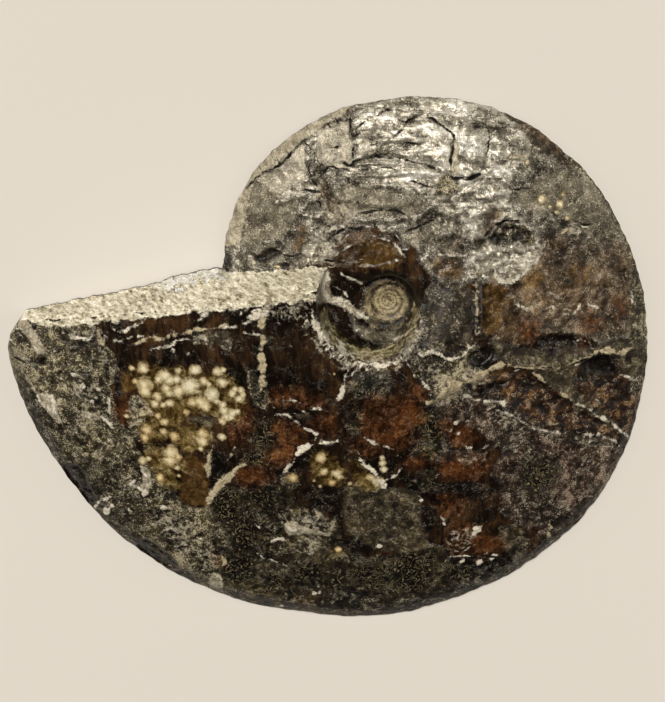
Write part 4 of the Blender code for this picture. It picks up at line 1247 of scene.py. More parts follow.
def build_fossil():
    """The fossil as one closed mesh: the face, a low rim and the flat sawn back."""
    x, y, faces = plan_mesh()
    cover = cover_of(x, y)
    height, cover["crest"] = surface(x, y, cover)
    out = ledge_push(x, y, height)
    bm = bmesh.new()
    verts = [bm.verts.new(p) for p in np.stack([x * MM, (y + out) * MM, height * MM], axis=1).tolist()]
    for face in faces:
        bm.faces.new([verts[i] for i in face])
    rim = [edge for edge in bm.edges if edge.is_boundary]
    for edge in rim:
        for vert in edge.verts:
            vert.co.z = EDGE_THICKNESS * MM
    skirt = bmesh.ops.extrude_edge_only(bm, edges=rim)["geom"]
    for vert in (part for part in skirt if isinstance(part, bmesh.types.BMVert)):
        vert.co.z = 0
    foot = [edge for edge in bm.edges if edge.is_boundary]
    for face in bmesh.ops.edgeloop_fill(bm, edges=foot)["faces"]:
        face.material_index = SAWN_SLOT
    bmesh.ops.recalc_face_normals(bm, faces=bm.faces)
    mesh = bpy.data.meshes.new("ammonite_surface")
    bm.to_mesh(mesh)
    bm.free()
    count = len(mesh.vertices)
    for name, depth in cover.items():
        values = np.full(count, -FAR, np.float32)
        values[:len(depth)] = depth
        attribute = mesh.attributes.new(name, "FLOAT", "POINT")
        attribute.data.foreach_set("value", values)
    mesh.shade_smooth()
    mesh.set_sharp_from_angle(angle=math.radians(SHARP_ANGLE))
    fossil = bpy.data.objects.new("ammonite_surface", mesh)
    bpy.context.scene.collection.objects.link(fossil)
    return fossil


# ================ materials
def linear(hex_colour):
    """A linear colour from an sRGB hex value."""
    parts = [int(hex_colour[i:i + 2], 16) / 255 for i in (1, 3, 5)]
    return tuple(p / 12.92 if p <= 0.04045 else ((p + 0.055) / 1.055) ** 2.4 for p in parts) + (1.0,)


def join(material, sources):
    """Links the finished colour and numbers to the shader, with the IOR of calcite."""
    shader = material.node_tree.nodes["Principled BSDF"]
    shader.inputs["IOR"].default_value = CALCITE_IOR
    for name, source in sources.items():
        material.node_tree.links.new(source, shader.inputs[name])


def per_mm(size):
    """The scale of a pattern whose broadest features are this many millimetres wide."""
    return 1 / (size * MM)


def add(tree, kind, inputs, out=0, stops=(), **settings):
    """Adds a node, sets its settings, sets or links its inputs, and hands back one of its outputs."""
    node = tree.nodes.new("ShaderNode" + kind)
    for name, value in settings.items():
        setattr(node, name, value)
    for name, value in inputs.items() if isinstance(inputs, dict) else enumerate(inputs):
        if isinstance(value, bpy.types.NodeSocket):
            tree.links.new(value, node.inputs[name])
        else:
            node.inputs[name].default_value = value
    for place, colour in stops:
        node.color_ramp.elements.new(place).color = linear(colour)
    if stops:
        node.color_ramp.elements.remove(node.color_ramp.elements[-1])
        node.color_ramp.elements.remove(node.color_ramp.elements[0])
    return node.outputs[out]


# Each finish, from the lowest to the topmost:
#   its dark, middle, light and brightest colours;
#   how far its pattern shows broad clouds, blotches, grain, streaks, flakes, bedding, stipple, creases;
#   the raggedness and the softness of its edge, in mm;
#   roughness, lustre (how far it mirrors as metal does), and the height of its grain in mm;
#   the height of its flakes in mm, and how far pale threads and pale grains show on it, which are partly
#   painted highlights and glints;
#   how far black dendrites, curled sutures and fine cracks show on it;
#   how much it hides what lies below.
FINISHES = (
    # Weathered aragonite shell: dark taupe plates, cracked and stepped, with pale crests: worn pale, and
    # brightened further by a painted highlight.
    ("weathered_shell", ("#120f0b", "#3c382e", "#706b5f", "#c9c4b7"), (0.15, 0.55, 0.2, 0, 0.25, 0, 0.5, 0.2),
     (1.8, 1.0), (0.38, 0.3, 0.28), (0.4, 0.5, 0.3), (0.2, 0, 0.7), 1),
    # Iron-brown shell: the same, stained and smoother.
    ("brown_shell", ("#191208", "#3a2c1c", "#57452f", "#846d50"), (0.6, 0.5, 0.2, 0, 0.15, 0, 0.4, 0),
     (4, 4), (0.34, 0.1, 0.22), (0.3, 0.8, 0.45), (0.4, 0, 0.3), 0.85),
    # Plates of shell worn to a satin finish: warm light grey, evenly stippled.
    ("satin_shell", ("#3c372c", "#747062", "#989181", "#c5bfb0"), (0.15, 0.35, 0.15, 0, 0, 0, 0.5, 0),
     (0.7, 0.5), (0.45, 0.3, 0.14), (0, 0.1, 0.1), (0, 0, 0.1), 1),
    # Shell over silt: smooth, olive-grey, evenly stippled.
    ("olive_shell", ("#26221a", "#4f493c", "#706a5a", "#a69f8b"), (0.2, 0.4, 0.15, 0, 0.1, 0, 0.6, 0),
     (2.2, 1.6), (0.42, 0.2, 0.26), (0.15, 0.3, 0.2), (0.15, 0, 0.2), 0.95),
    # Worn boss of shell: smooth satin grey, with purple-brown patches of painted shade, spread by the grain
    # rather than by the light.
    ("grey_boss", ("#0f0c08", "#1f1911", "#322b1f", "#625845"), (0.6, 0.5, 0.25, 0, 0, 0, 0.6, 0),
     (4, 3), (0.45, 0.05, 0.3), (0.1, 0.25, 0.5), (0.3, 0, 0), 1),
    # Nacre: silvery, creased like foil, bright on each crest from its own reflection and from a painted
    # highlight.
    ("silver_shell", ("#211c16", "#706b5e", "#b5b0a2", "#f6f3ea"), (0.1, 0.3, 0.15, 0, 0.15, 0, 0.35, 0.55),
     (2.4, 1.5), (0.4, 0.5, 0.22), (0.25, 0.3, 0.15), (0.1, 0, 0.5), 1),
    # Silty limestone that fills the body chamber: grey-olive, peppered with crystal grains, whose pale specks
    # are partly painted glints.
    ("matrix", ("#080604", "#201c13", "#443d2c", "#a39a7d"), (0.55, 0.55, 0.4, 0.1, 0.1, 0, 0.65, 0),
     (2.2, 0.8), (0.42, 0.05, 0.35), (0.3, 0.7, 0.65), (0.5, 0.1, 0.2), 1),
    # Crystalline grit over the broken flank: brown, sparkling and rough.
    ("grit", ("#090604", "#1f1711", "#3d3027", "#877565"), (0.5, 0.65, 0.3, 0, 0.15, 0, 0.6, 0),
     (3, 1.5), (0.45, 0.1, 0.35), (0.4, 0.8, 0.8), (0.5, 0.1, 0), 0.95),
    # Marl between the sutures: smooth, dark olive, with black dendrites.
    ("olive_marl", ("#050402", "#130f08", "#282215", "#675d40"), (0.5, 0.7, 0.25, 0.1, 0, 0, 0.35, 0),
     (2.5, 1.2), (0.4, 0, 0.25), (0.15, 0.4, 0.4), (1, 0.15, 0), 1),
    # Frilled suture lines near the venter: pale curls drawn close together on black.
    ("fern_suture", ("#030201", "#060503", "#0d0b07", "#252016"), (0.2, 0.5, 0.2, 0, 0, 0, 0.1, 0),
     (7, 1.6), (0.25, 0, 0.2), (0.1, 0.05, 0.05), (0.6, 0.85, 0), 0.95),
    # Marl: smooth and matt, grey-olive, in patches with sharp edges.
    ("grey_stone", ("#0e0b07", "#221c12", "#3a3222", "#6e634b"), (0.3, 0.65, 0.25, 0, 0, 0, 0.4, 0),
     (2.4, 1.1), (0.52, 0, 0.3), (0.25, 0.25, 0.2), (0.6, 0.1, 0.3), 1),
    # Lime crust on the rim: matt beige, cut by short dark cracks.
    ("beige_crust", ("#423b2e", "#7c7563", "#a29a86", "#d0c9b4"), (0.15, 0.45, 0.2, 0, 0.15, 0, 0.3, 0),
     (1.0, 0.5), (0.5, 0, 0.25), (0.3, 0.2, 0.2), (0.2, 0, 0.5), 1),
    # Hematite-stained calcite: a rust glow in clouds just under a polished face.
    ("rust_calcite", ("#0d0602", "#281408", "#4f2c11", "#85562c"), (0.3, 0.5, 0.15, 0.2, 0, 0, 0.2, 0),
     (5, 4.5), (0.22, 0, 0.05), (0, 0.1, 0.1), (0.3, 0.1, 0), 0.85),
    # Honey calcite: amber, translucent, darker towards its edges.
    ("amber_calcite", ("#170f07", "#33240f", "#574020", "#856d40"), (0.3, 0.45, 0.2, 0.1, 0, 0, 0.2, 0),
     (2.4, 2.0), (0.25, 0, 0.08), (0, 0.1, 0.05), (0.1, 0, 0), 0.85),
    # Fine calcite needles in the chamber: a cream haze, thick and thin.
    ("crystal_haze", ("#0d0804", "#37290f", "#66552f", "#ac9c6f"), (0.2, 0.7, 0.25, 0, 0, 0, 0.1, 0),
     (3, 2.5), (0.22, 0, 0.06), (0, 0.1, 0.1), (0.2, 0, 0), 0.88),
    # Crust in the hollows: brown, porous and rough, with rusty patches that stand for where it catches the
    # light: painted highlights, spread by the grain.
    ("cavity_crust", ("#040201", "#130b05", "#311d0d", "#6e4f2b"), (0.3, 0.85, 0.35, 0, 0.1, 0, 0.3, 0),
     (1.5, 1.0), (0.5, 0, 0.35), (0.3, 0.4, 0.6), (0.7, 0, 0), 0.95),
    # The rim: silt and shell ground off in fine striae that run out to the venter, in near-black tones that
    # are partly painted shade along the lower rim.
    ("rim_striae", ("#040302", "#0e0c07", "#211d13", "#595242"), (0.2, 0.45, 0.2, 0.7, 0, 0, 0.3, 0),
     (6, 2.5), (0.5, 0, 0.3), (0.2, 0.5, 0.4), (0.4, 0, 0), 0.75),
    # Open gaps and black calcite: black calcite in its own colour, and painted shade in the open gaps and
    # hollows; nearly no light comes back.
    ("black_gap", ("#030202", "#060403", "#0e0906", "#2b2117"), (0.2, 0.6, 0.3, 0, 0, 0, 0.3, 0),
     (1.8, 0.9), (0.26, 0, 0.2), (0.1, 0.1, 0.2), (0, 0, 0), 0.95),
    # The ledge: coarse cream limestone, broken across, with a slanting grain.
    ("ledge_rock", ("#4e4735", "#a59d85", "#d8d2bc", "#fcf9ef"), (0.15, 0.3, 0.2, 0, 0, 0.7, 0.4, 0),
     (1.4, 0.4), (0.6, 0, 0.5), (0.3, 0.3, 0.3), (0.1, 0, 0.2), 1),
)

# The polished calcite below them all, in the same order: roughness, lustre and grain, then the rest.
BARE_CALCITE = ((0.14, 0.0, 0.02), (0.0, 0.08, 0.12), (0.0, 0.0, 0.0))
CALCITE_STOPS = ((0.38, "#050302"), (0.47, "#110b07"), (0.54, "#21160d"), (0.63, "#3b2816"))
RAMP_STOPS = (0.36, 0.45, 0.55, 0.67)
# How much brighter a finish is painted on its own crests and darker in its hollows (painted highlight and
# painted shade), and how far the grain swings its edge for each mm.
CREST_PAINTED_LIGHT = 0.07
RAG_SWING = 4
# The inner coil and the wall round it, golden limestone, whose pale tones on the lower wall are also a
# painted highlight: how far each is pale on its bands, and its dark, middle, light and brightest colours.
GOLDEN_LIMESTONE = (
    ("inner_coil", "coil_band", 0.12, ("#17130c", "#4a4230", "#726750", "#a69a76")),
    ("lit_umbilical_wall", None, 0, ("#1b170e", "#4b432b", "#857b57", "#c9bf92")),
)
GOLDEN_STOPS = (0.40, 0.47, 0.53, 0.61)
GOLDEN_ROUGHNESS = 0.38
GOLDEN_GRAIN = 0.45
# Balls of calcite needles, from the edge to the heart, cream and stained honey: dark at the edge and palest
# at the heart, partly their own tone and partly painted shading of each ball, with painted shade where they
# meet.
CREAM_STOPS = ((0.0, "#261d0d"), (0.2, "#6b6045"), (0.42, "#978c6c"), (0.8, "#ccc4aa"))
HONEY_STOPS = ((0.0, "#251b0d"), (0.22, "#604e30"), (0.48, "#968259"), (0.9, "#cbba91"))
ROSETTE_ROUGHNESS = 0.2
ROSETTE_GRAIN = 0.04
# Veins and crystals over all of these: dark and light colours, height in mm and roughness.
VEINS = (
    ("tan_vein", "#4a412f", "#ada184", 0.3, 0.4),
    ("white_vein", "#777060", "#d0c9b8", 0.2, 0.3),
    ("foot_crystal", "#6f6e6a", "#e4e2da", 0.5, 0.3),
)
# Heights in mm of the creases of foil, pale threads, white dust, fine cracks and long cracks.
FOIL_HEIGHT = 2.2
THREAD_HEIGHT = 0.3
DUST_HEIGHT = 0.25
CRACKLE_HEIGHT = -0.4
CRACK_HEIGHT = -0.6
CRACK_COLOUR = "#0e0b08"


def grain_patterns(node, at):
    """The patterns of the stone, about 0 to 1 each, from broad clouds to single grains.

    Real grain is finer than the finest here, which is as coarse as it needs to be to show.
    """
    cloud = node("TexNoise", {"Vector": at, "Scale": per_mm(20), "Detail": 4, "Roughness": 0.6,
                              "Distortion": 0.8})
    blotch = node("TexNoise", {"Vector": at, "Scale": per_mm(6), "Detail": 6, "Roughness": 0.7,
                               "Distortion": 0.7})
    grain = node("TexNoise", {"Vector": at, "Scale": per_mm(2.2), "Detail": 3, "Roughness": 0.7,
                              "Distortion": 0.5})
    stipple = node("TexNoise", {"Vector": at, "Scale": per_mm(0.7), "Detail": 1, "Roughness": 0.5})
    busy = node("MapRange", (grain, 0.42, 0.6, 0.1, 1.4))
    stipple = node("Math", (node("Math", (stipple, 0.5), operation="SUBTRACT"), busy, 0.5),
                   operation="MULTIPLY_ADD")
    foil = node("Mapping", {"Vector": at, "Scale": (0.2, 1, 0.6)})
    crease = node("TexNoise", {"Vector": foil, "Scale": per_mm(5), "Detail": 5, "Roughness": 0.6,
                               "Distortion": 0.35})
    growth = node("Mapping", {"Vector": at, "Scale": (1, 0.18, 1)})
    streak = node("TexNoise", {"Vector": growth, "Scale": per_mm(2.2), "Detail": 4, "Roughness": 0.6,
                               "Distortion": 0.5})
    bedding = node("Mapping", {"Vector": at, "Rotation": (0, math.radians(60), 0)})
    bedding = node("Mapping", {"Vector": bedding, "Scale": (0.35, 1, 1)})
    slant = node("TexNoise", {"Vector": bedding, "Scale": per_mm(1.8), "Detail": 4, "Roughness": 0.65})
    fine = node("Math", (node("Math", (grain, stipple), operation="ADD"), 0.5), operation="MULTIPLY")
    wander = node("Math", (node("Math", (grain, 0.5), operation="SUBTRACT"), 0.35,
                           node("Math", (blotch, 0.5), operation="SUBTRACT")), operation="MULTIPLY_ADD")
    return SimpleNamespace(cloud=cloud, blotch=blotch, grain=grain, stipple=stipple, crease=crease,
                           streak=streak, slant=slant, fine=fine, wander=wander)


def in_patches(node, pattern, sharp, dull, mask, none, full):
    """A pattern drawn from dull to sharp, only where the mask lies between none and full."""
    return node("Math", (node("MapRange", (pattern, dull, sharp), interpolation_type="SMOOTHSTEP"),
                         node("MapRange", (mask, none, full), interpolation_type="SMOOTHSTEP")),
                operation="MULTIPLY")


def mark_patterns(node, at, grains):
    """What is drawn on the stone: plates, cracks, threads, sutures, dendrites and pale grains; the pale
    threads and grains are partly painted highlights and glints.
    """
    # Plates of shell or crystal, each at its own height and tone, with ragged edges.
    push = node("TexNoise", {"Vector": at, "Scale": per_mm(5), "Detail": 3}, out="Color")
    warped = node("VectorMath", (push, (12 * MM, 12 * MM, 0), at), operation="MULTIPLY_ADD")
    plate = node("TexVoronoi", {"Vector": warped, "Scale": per_mm(9)}, out="Color")
    chip = node("TexVoronoi", {"Vector": warped, "Scale": per_mm(3.5)}, out="Color")
    flake = node("Math", (chip, 0.4, node("Math", (plate, 0.6), operation="MULTIPLY")),
                 operation="MULTIPLY_ADD")
    seam = node("TexVoronoi", {"Vector": warped, "Scale": per_mm(13)}, feature="DISTANCE_TO_EDGE")
    crackle = in_patches(node, seam, 0.012, 0.03, grains.blotch, 0.45, 0.52)

    # Thin pale lines where crests of shell or crystal stand out, pale partly from wear and partly as painted
    # highlights on the crests, and black dendrites between them.
    fold = node("TexNoise", {"Vector": at, "Scale": per_mm(4), "Detail": 4, "Roughness": 0.6,
                             "Distortion": 1.8})
    away = node("Math", (node("Math", (fold, 0.5), operation="SUBTRACT"),), operation="ABSOLUTE")
    thread_and_glint = in_patches(node, away, 0.008, 0.03, grains.blotch, 0.48, 0.6)
    dendrite = in_patches(node, fold, 0.445, 0.485, grains.cloud, 0.56, 0.48)

    # Curled sutures in nested lines about a millimetre apart, each broken by the grain.
    frill = node("TexNoise", {"Vector": at, "Scale": per_mm(2.6), "Detail": 1}, out="Color")
    frilled = node("VectorMath", (frill, (3.5 * MM, 3.5 * MM, 0), at), operation="MULTIPLY_ADD")
    fern = node("TexNoise", {"Vector": frilled, "Scale": per_mm(8), "Detail": 1, "Roughness": 0.4})
    level = node("Math", (node("Math", (fern, 16), operation="MULTIPLY"),), operation="FRACT")
    away = node("Math", (node("Math", (level, 0.5), operation="SUBTRACT"),), operation="ABSOLUTE")
    curl = in_patches(node, away, 0.05, 0.2, grains.grain, 0.44, 0.56)

    # Pale grains: partly the stone's own crystals, partly painted glints.
    finest = node("Math", (node("Math", (grains.fine, 2, grains.stipple), operation="MULTIPLY_ADD"), 1 / 3),
                  operation="MULTIPLY")
    speck_and_glint = in_patches(node, finest, 0.64, 0.565, grains.blotch, 0.48, 0.6)
    return SimpleNamespace(flake=flake, crackle=crackle, thread_and_glint=thread_and_glint, dendrite=dendrite, curl=curl,
                           speck_and_glint=speck_and_glint)


def stored(node, name):
    """A distance or share that the mesh carries."""
    return node("Attribute", {}, "Fac", attribute_name=name)


def shown(node, grains, name, rag, low, high, hide=1):
    """How far a finish shows: its depth, made ragged by the grain, eased in between low and high (mm)."""
    depth = node("Math", (grains.wander, rag, stored(node, name)), operation="MULTIPLY_ADD")
    return node("MapRange", (depth, low, high, 0, hide), interpolation_type="SMOOTHSTEP")


def finish_layers(node, grains, flake):
    """All finishes over the bare calcite: the colour, and three sets of three numbers each."""
    smoky = node("Math", (grains.cloud, 0.6, node("Math", (grains.streak, 0.4), operation="MULTIPLY")),
                 operation="MULTIPLY_ADD")
    colour = node("ValToRGB", (smoky,), stops=CALCITE_STOPS)
    # Painted highlight on crests and painted shade in hollows, from the stored crest height.
    crest = node("Math", (stored(node, "crest"), CREST_PAINTED_LIGHT), operation="MULTIPLY")
    flake_tone = node("Math", (flake, 0.5, 0.25), operation="MULTIPLY_ADD")
    patterns = (grains.cloud, grains.blotch, grains.grain, grains.streak, flake_tone, grains.slant,
                grains.stipple, grains.crease)
    sets = BARE_CALCITE
    for name, tones, shares, (rag, soft), *own_sets, hide in FINISHES:
        share = shown(node, grains, name, rag * RAG_SWING, -soft, soft, hide)
        mixed = node("Math", (crest, 0.5 - 0.5 * sum(shares)), operation="ADD")
        for source, part in zip(patterns, shares):
            if part:
                mixed = node("Math", (source, part, mixed), operation="MULTIPLY_ADD")
        tone = node("ValToRGB", (mixed,), stops=tuple(zip(RAMP_STOPS, tones)))
        colour = node("Mix", {0: share, 6: colour, 7: tone}, out=2, data_type="RGBA")
        sets = [node("Mix", {0: share, 4: below, 5: own}, out=1, data_type="VECTOR")
                for below, own in zip(sets, own_sets)]
    numbers = [node("SeparateXYZ", (three,), out=i) for three in sets for i in range(3)]
    return colour, numbers


def build_flank_material():
    """Polished smoky calcite under worn shell, with rock, rosettes, veins and cracks over it."""
    material = bpy.data.materials.new("polished_ammonite")
    material.use_nodes = True
    node = partial(add, material.node_tree)
    at = node("NewGeometry", {}, out="Position")
    grains = grain_patterns(node, at)
    marks = mark_patterns(node, at, grains)
    blotch, grain, stipple, fine = grains.blotch, grains.grain, grains.stipple, grains.fine
    colour, numbers = finish_layers(node, grains, marks.flake)
    rough, lustre, grain_height, flake_height, threads, specks_and_glints, dendrites, curls, cracks = numbers

    for name, band_name, band_share, tones in GOLDEN_LIMESTONE:
        share = shown(node, grains, name, 3, -0.8, 0.6)
        band = node("Math", (blotch, fine), operation="ADD")
        band = node("Math", (band, 0.5 - 0.25 * band_share), operation="MULTIPLY")
        if band_name:
            band = node("Math", (stored(node, band_name), band_share, band), operation="MULTIPLY_ADD")
        tone = node("ValToRGB", (band,), stops=tuple(zip(GOLDEN_STOPS, tones)))
        colour = node("Mix", {0: share, 6: colour, 7: tone}, out=2, data_type="RGBA")
        rough = node("MapRange", (share, 0, 1, rough, GOLDEN_ROUGHNESS))
        grain_height = node("MapRange", (share, 0, 1, grain_height, GOLDEN_GRAIN))

    # White calcite dust: pale specks that lie closer together towards the middle of each patch.
    frost = node("Math", (node("Math", (blotch, grain), operation="ADD"), 0.5), operation="MULTIPLY")
    frost = node("Math", (stored(node, "frost"), 0.008, frost), operation="MULTIPLY_ADD")
    frost = node("MapRange", (frost, 0.5, 0.6), interpolation_type="SMOOTHSTEP")
    frost = node("Math", (frost, shown(node, grains, "frost", 8, -1, 1.5)), operation="MULTIPLY")

    # Pale threads and specks are partly painted highlights and glints on crests and grains.
    for source, amount, tone in ((marks.dendrite, dendrites, "#050403"), (marks.crackle, cracks, "#0d0a07"),
                                 (marks.curl, curls, "#776d52"), (marks.thread_and_glint, threads, "#cbc4b0"),
                                 (marks.speck_and_glint, specks_and_glints, "#c8c0aa"), (frost, 0.5, "#bab19b")):
        share = node("Math", (source, amount), operation="MULTIPLY")
        colour = node("Mix", {0: share, 6: colour, 7: linear(tone)}, out=2, data_type="RGBA")

    # Calcite rosettes: balls of needles, palest at the heart and fading into the smoky calcite, partly their
    # own tone and partly painted shading, darker where neighbours meet as painted shade.
    rosette = node("Math", (grains.wander, 1.3, stored(node, "rosette")), operation="MULTIPLY_ADD")
    needles = node("Math", (fine, 0.9, node("Math", (rosette, 0.45), operation="SUBTRACT")),
                   operation="MULTIPLY_ADD")
    cream = node("ValToRGB", (needles,), stops=CREAM_STOPS)
    honey = node("ValToRGB", (needles,), stops=HONEY_STOPS)
    ball = node("Mix", {0: stored(node, "rosette_gold"), 6: cream, 7: honey}, out=2, data_type="RGBA")
    share = node("MapRange", (rosette, -0.02, 0.3), interpolation_type="SMOOTHSTEP")
    colour = node("Mix", {0: share, 6: colour, 7: ball}, out=2, data_type="RGBA")
    rough = node("MapRange", (share, 0, 1, rough, ROSETTE_ROUGHNESS))
    grain_height = node("MapRange", (share, 0, 1, grain_height, ROSETTE_GRAIN))

    # The heights that catch the light, in mm: grain, plates, creases, threads, dust and fine cracks.
    height = node("Math", (grain, 0.7, node("Math", (stipple, 0.75), operation="MULTIPLY")),
                  operation="MULTIPLY_ADD")
    height = node("Math", (height, grain_height), operation="MULTIPLY")
    height = node("Math", (marks.flake, flake_height, height), operation="MULTIPLY_ADD")
    folded = node("Math", (grains.crease, node("Math", (lustre, FOIL_HEIGHT), operation="MULTIPLY")),
                  operation="MULTIPLY")
    height = node("Math", (height, folded), operation="ADD")
    share = node("Math", (marks.thread_and_glint, threads), operation="MULTIPLY")
    height = node("Math", (share, THREAD_HEIGHT, height), operation="MULTIPLY_ADD")
    height = node("Math", (frost, DUST_HEIGHT, height), operation="MULTIPLY_ADD")
    share = node("Math", (marks.crackle, cracks), operation="MULTIPLY")
    height = node("Math", (share, CRACKLE_HEIGHT, height), operation="MULTIPLY_ADD")

    # Veins and crystals stand out over everything, and the long cracks cut through them.
    for name, dark, light, rise, vein_rough in VEINS:
        share = shown(node, grains, name, 5.5, -0.35, 0.45)
        tone = node("ValToRGB", (fine,), stops=((0.38, dark), (0.52, light)))
        colour = node("Mix", {0: share, 6: colour, 7: tone}, out=2, data_type="RGBA")
        rough = node("MapRange", (share, 0, 1, rough, vein_rough))
        lustre = node("MapRange", (share, 0, 1, lustre, 0))
        rise = node("Math", (grain, 0.5, rise), operation="MULTIPLY_ADD")
        height = node("Math", (share, rise, height), operation="MULTIPLY_ADD")
    share = shown(node, grains, "crack", 2, -0.3, 0.15)
    colour = node("Mix", {0: share, 6: colour, 7: linear(CRACK_COLOUR)}, out=2, data_type="RGBA")
    height = node("Math", (share, CRACK_HEIGHT, height), operation="MULTIPLY_ADD")

    shader = material.node_tree.nodes["Principled BSDF"]
    shader.inputs["Specular IOR Level"].default_value = STONE_SPECULAR
    normal = node("Bump", {"Height": height, "Distance": MM})
    join(material, {"Base Color": colour, "Roughness": rough, "Metallic": lustre, "Normal": normal})
    return material


def build_sawn_material():
    """The sawn back, ground flat: whorl walls, septa and chambers of calcite and dark mud."""
    material = bpy.data.materials.new("sawn_calcite")
    material.use_nodes = True
    node = partial(add, material.node_tree)
    at = node("NewGeometry", {}, out="Position")
    grain = node("TexNoise", {"Vector": at, "Scale": per_mm(2), "Detail": 4, "Roughness": 0.65})
    cloud = node("TexNoise", {"Vector": at, "Scale": per_mm(22), "Detail": 4, "Roughness": 0.6,
                              "Distortion": 0.8})
    push = node("TexNoise", {"Vector": at, "Scale": per_mm(18), "Detail": 2}, out="Color")
    bent = node("VectorMath", (push, (6 * MM, 6 * MM, 0), at), operation="MULTIPLY_ADD")
    x = node("SeparateXYZ", (bent,), out="X")
    y = node("SeparateXYZ", (bent,), out="Y")
    radius = node("VectorMath", (bent,), out="Value", operation="LENGTH")
    turn = node("Math", (node("Math", (y, node("Math", (x, -1), operation="MULTIPLY")),
                              operation="ARCTAN2"), 1 / (2 * math.pi)), operation="MULTIPLY")

    # The whorls are a log spiral that grows this much in a turn, eased in and out to follow the venter.
    growth = math.log(VENTER_RADII[-1] / VENTER_RADII[0])
    size = node("Math", (node("Math", (radius, 1 / (VENTER_RADII[0] * MM)), operation="MULTIPLY"), math.e),
                operation="LOGARITHM")
    turns = VENTER_TURNS[:-1] / 360
    swell = np.log(np.array(VENTER_RADII[:-1]) / VENTER_RADII[0]) - growth * turns
    size = node("Math", (size, float(np.mean(swell))), operation="SUBTRACT")
    for waves in (1, 2, 3):
        around = node("Math", (turn, 2 * math.pi * waves), operation="MULTIPLY")
        for operation, wave in (("COSINE", np.cos), ("SINE", np.sin)):
            share = 2 * float(np.mean(swell * wave(2 * math.pi * waves * turns)))
            size = node("Math", (node("Math", (around,), operation=operation), -share, size),
                        operation="MULTIPLY_ADD")
    whorls = node("Math", (size, 1 / growth, node("Math", (turn, -1), operation="MULTIPLY")),
                  operation="MULTIPLY_ADD")
    across = node("Math", (whorls,), operation="FRACT")
    middle = node("Math", (node("Math", (across, 0.5), operation="SUBTRACT"),), operation="ABSOLUTE")
    wall = node("MapRange", (middle, 0.465, 0.49), interpolation_type="SMOOTHSTEP")

    # Septa bow inwards between the walls; each whorl has the same number of chambers.
    bow = node("Math", (node("Math", (middle, 2), operation="POWER"), 2.2), operation="MULTIPLY")
    chambers = node("Math", (turn, SEPTA_PER_WHORL, bow), operation="MULTIPLY_ADD")
    inside_chamber = node("Math", (node("Math", (chambers,), operation="FRACT"), 0.5), operation="SUBTRACT")
    inside_chamber = node("Math", (inside_chamber,), operation="ABSOLUTE")
    septum = node("MapRange", (inside_chamber, 0.44, 0.48), interpolation_type="SMOOTHSTEP")
    lining = node("MapRange", (node("Math", (inside_chamber, middle), operation="MAXIMUM"), 0.28, 0.44),
                  interpolation_type="SMOOTHSTEP")
    filled = node("TexWhiteNoise", {"W": node("Math", (chambers,), operation="FLOOR")}, noise_dimensions="1D")
    filled = node("MapRange", (node("Math", (cloud, 0.6, filled), operation="MULTIPLY_ADD"), 0.75, 0.85),
                  interpolation_type="SMOOTHSTEP")

    mud = node("ValToRGB", (grain,), stops=((0.35, "#1d1811"), (0.5, "#37301f"), (0.65, "#5a5138")))
    calcite = node("ValToRGB", (grain,), stops=((0.35, "#5d4526"), (0.5, "#96794c"), (0.65, "#cdbb93")))
    smoky = node("ValToRGB", (cloud,), stops=((0.35, "#0f0906"), (0.5, "#2a190d"), (0.65, "#4f3118")))
    colour = node("Mix", {0: filled, 6: smoky, 7: mud}, out=2, data_type="RGBA")
    colour = node("Mix", {0: lining, 6: colour, 7: calcite}, out=2, data_type="RGBA")
    edge = node("Math", (wall, septum), operation="MAXIMUM")
    colour = node("Mix", {0: edge, 6: colour, 7: linear("#d9cfb4")}, out=2, data_type="RGBA")
    rough = node("MapRange", (grain, 0.3, 0.7, 0.22, 0.42))

    # The saw leaves fine parallel scratches; they are drawn coarser than the real ones.
    scratch = node("Mapping", {"Vector": at, "Scale": (1, 0.03, 1)})
    scratch = node("TexNoise", {"Vector": scratch, "Scale": per_mm(1.5), "Detail": 2})
    normal = node("Bump", {"Height": scratch, "Distance": 0.15 * MM, "Strength": 0.6})
    join(material, {"Base Color": colour, "Roughness": rough, "Normal": normal})
    return material


# ================ stage, light and camera
def build_floor():
    """A plain pale floor under the sawn face."""
    mesh = bpy.data.meshes.new("floor")
    far = FLOOR_HALF_WIDTH
    mesh.from_pydata([(-far, -far, 0), (far, -far, 0), (far, far, 0), (-far, far, 0)], [], [(0, 1, 2, 3)])
    floor = bpy.data.objects.new("floor", mesh)
    bpy.context.scene.collection.objects.link(floor)
    material = bpy.data.materials.new("pale_card")
    material.use_nodes = True
    shader = material.node_tree.nodes["Principled BSDF"]
    shader.inputs["Base Color"].default_value = linear(FLOOR_COLOUR)
    shader.inputs["Roughness"].default_value = FLOOR_ROUGHNESS
    mesh.materials.append(material)


def add_lamp(name, kind, strength):
    """A lamp of the studio's warm white; hands back its light data and its object."""
    light = bpy.data.lights.new(name, kind)
    light.energy = strength
    light.color = linear(LIGHT_COLOUR)[:3]
    lamp = bpy.data.objects.new(name, light)
    bpy.context.scene.collection.objects.link(lamp)
    return light, lamp


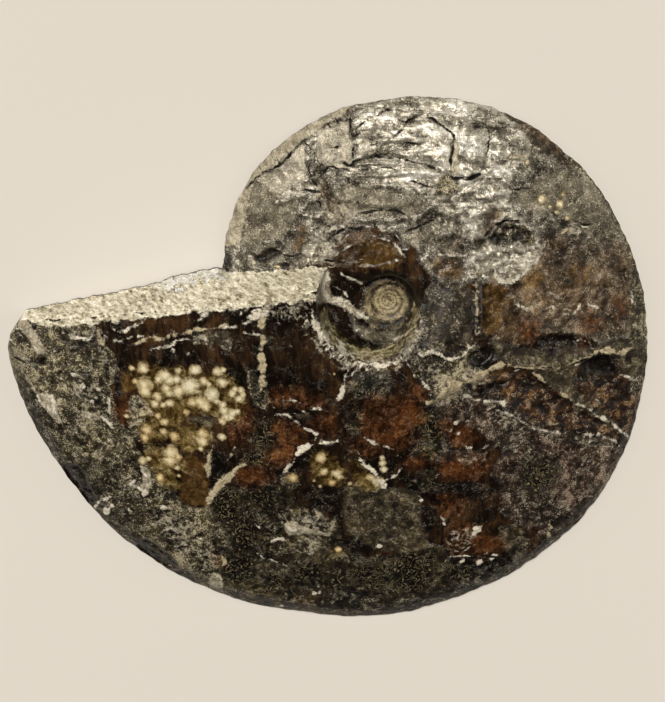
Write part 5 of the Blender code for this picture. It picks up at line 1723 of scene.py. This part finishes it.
def build_light():
    """One broad key light from above and behind, two weak softboxes and a low even fill."""
    light, key = add_lamp("key", "SUN", KEY_STRENGTH)
    light.angle = math.radians(KEY_ANGLE)
    key.rotation_euler = Vector(KEY_FROM).to_track_quat("Z", "Y").to_euler()
    for name, place in SOFTBOXES:
        light, lamp = add_lamp(name, "AREA", SOFTBOX_WATTS)
        light.shape = "RECTANGLE"
        light.size = SOFTBOX_SIDE
        light.size_y = SOFTBOX_SIDE
        lamp.location = place
        lamp.rotation_euler = (-Vector(place)).to_track_quat("-Z", "Y").to_euler()
    world = bpy.data.worlds.new("studio")
    bpy.context.scene.world = world
    world.use_nodes = True
    background = world.node_tree.nodes["Background"]
    background.inputs["Color"].default_value = linear(LIGHT_COLOUR)
    seen = add(world.node_tree, "LightPath", {}, out="Is Camera Ray")
    strength = add(world.node_tree, "MapRange", (seen, 0, 1, FILL_STRENGTH, BACKDROP_STRENGTH))
    world.node_tree.links.new(strength, background.inputs["Strength"])


def build_camera(low, high):
    """Looks down on the flank, leaning back a little, with the middle of the piece near the aim."""
    data = bpy.data.cameras.new("camera")
    data.lens = VIEW_LENS
    camera = bpy.data.objects.new("camera", data)
    bpy.context.scene.collection.objects.link(camera)
    tilt = math.radians(VIEW_TILT)
    back = Vector((0, math.sin(tilt), math.cos(tilt)))
    up = Vector((0, math.cos(tilt), -math.sin(tilt)))
    centre = (low + high) / 2
    aim = Vector((centre.x + VIEW_SHIFT_FROM_CENTRE[0], centre.y + VIEW_SHIFT_FROM_CENTRE[1], 0))
    axes = Matrix((Vector((1, 0, 0)), up, back)).transposed()
    camera.matrix_world = Matrix.Translation(aim + back * VIEW_DISTANCE) @ axes.to_4x4()
    bpy.context.scene.camera = camera


def corners(box):
    """The two corners of a box as plain lists."""
    return [list(corner) for corner in box]


def main():
    """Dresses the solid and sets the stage."""
    for old in list(bpy.data.objects):
        bpy.data.objects.remove(old, do_unlink=True)
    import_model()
    cad_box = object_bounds()
    fossil = build_fossil()
    fossil.data.materials.append(build_flank_material())
    fossil.data.materials.append(build_sawn_material())
    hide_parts("ammonite_half")
    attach(fossil, "root")
    build_floor()
    build_light()
    build_camera(*cad_box)
    bpy.context.scene.view_settings.view_transform = "Standard"


main()
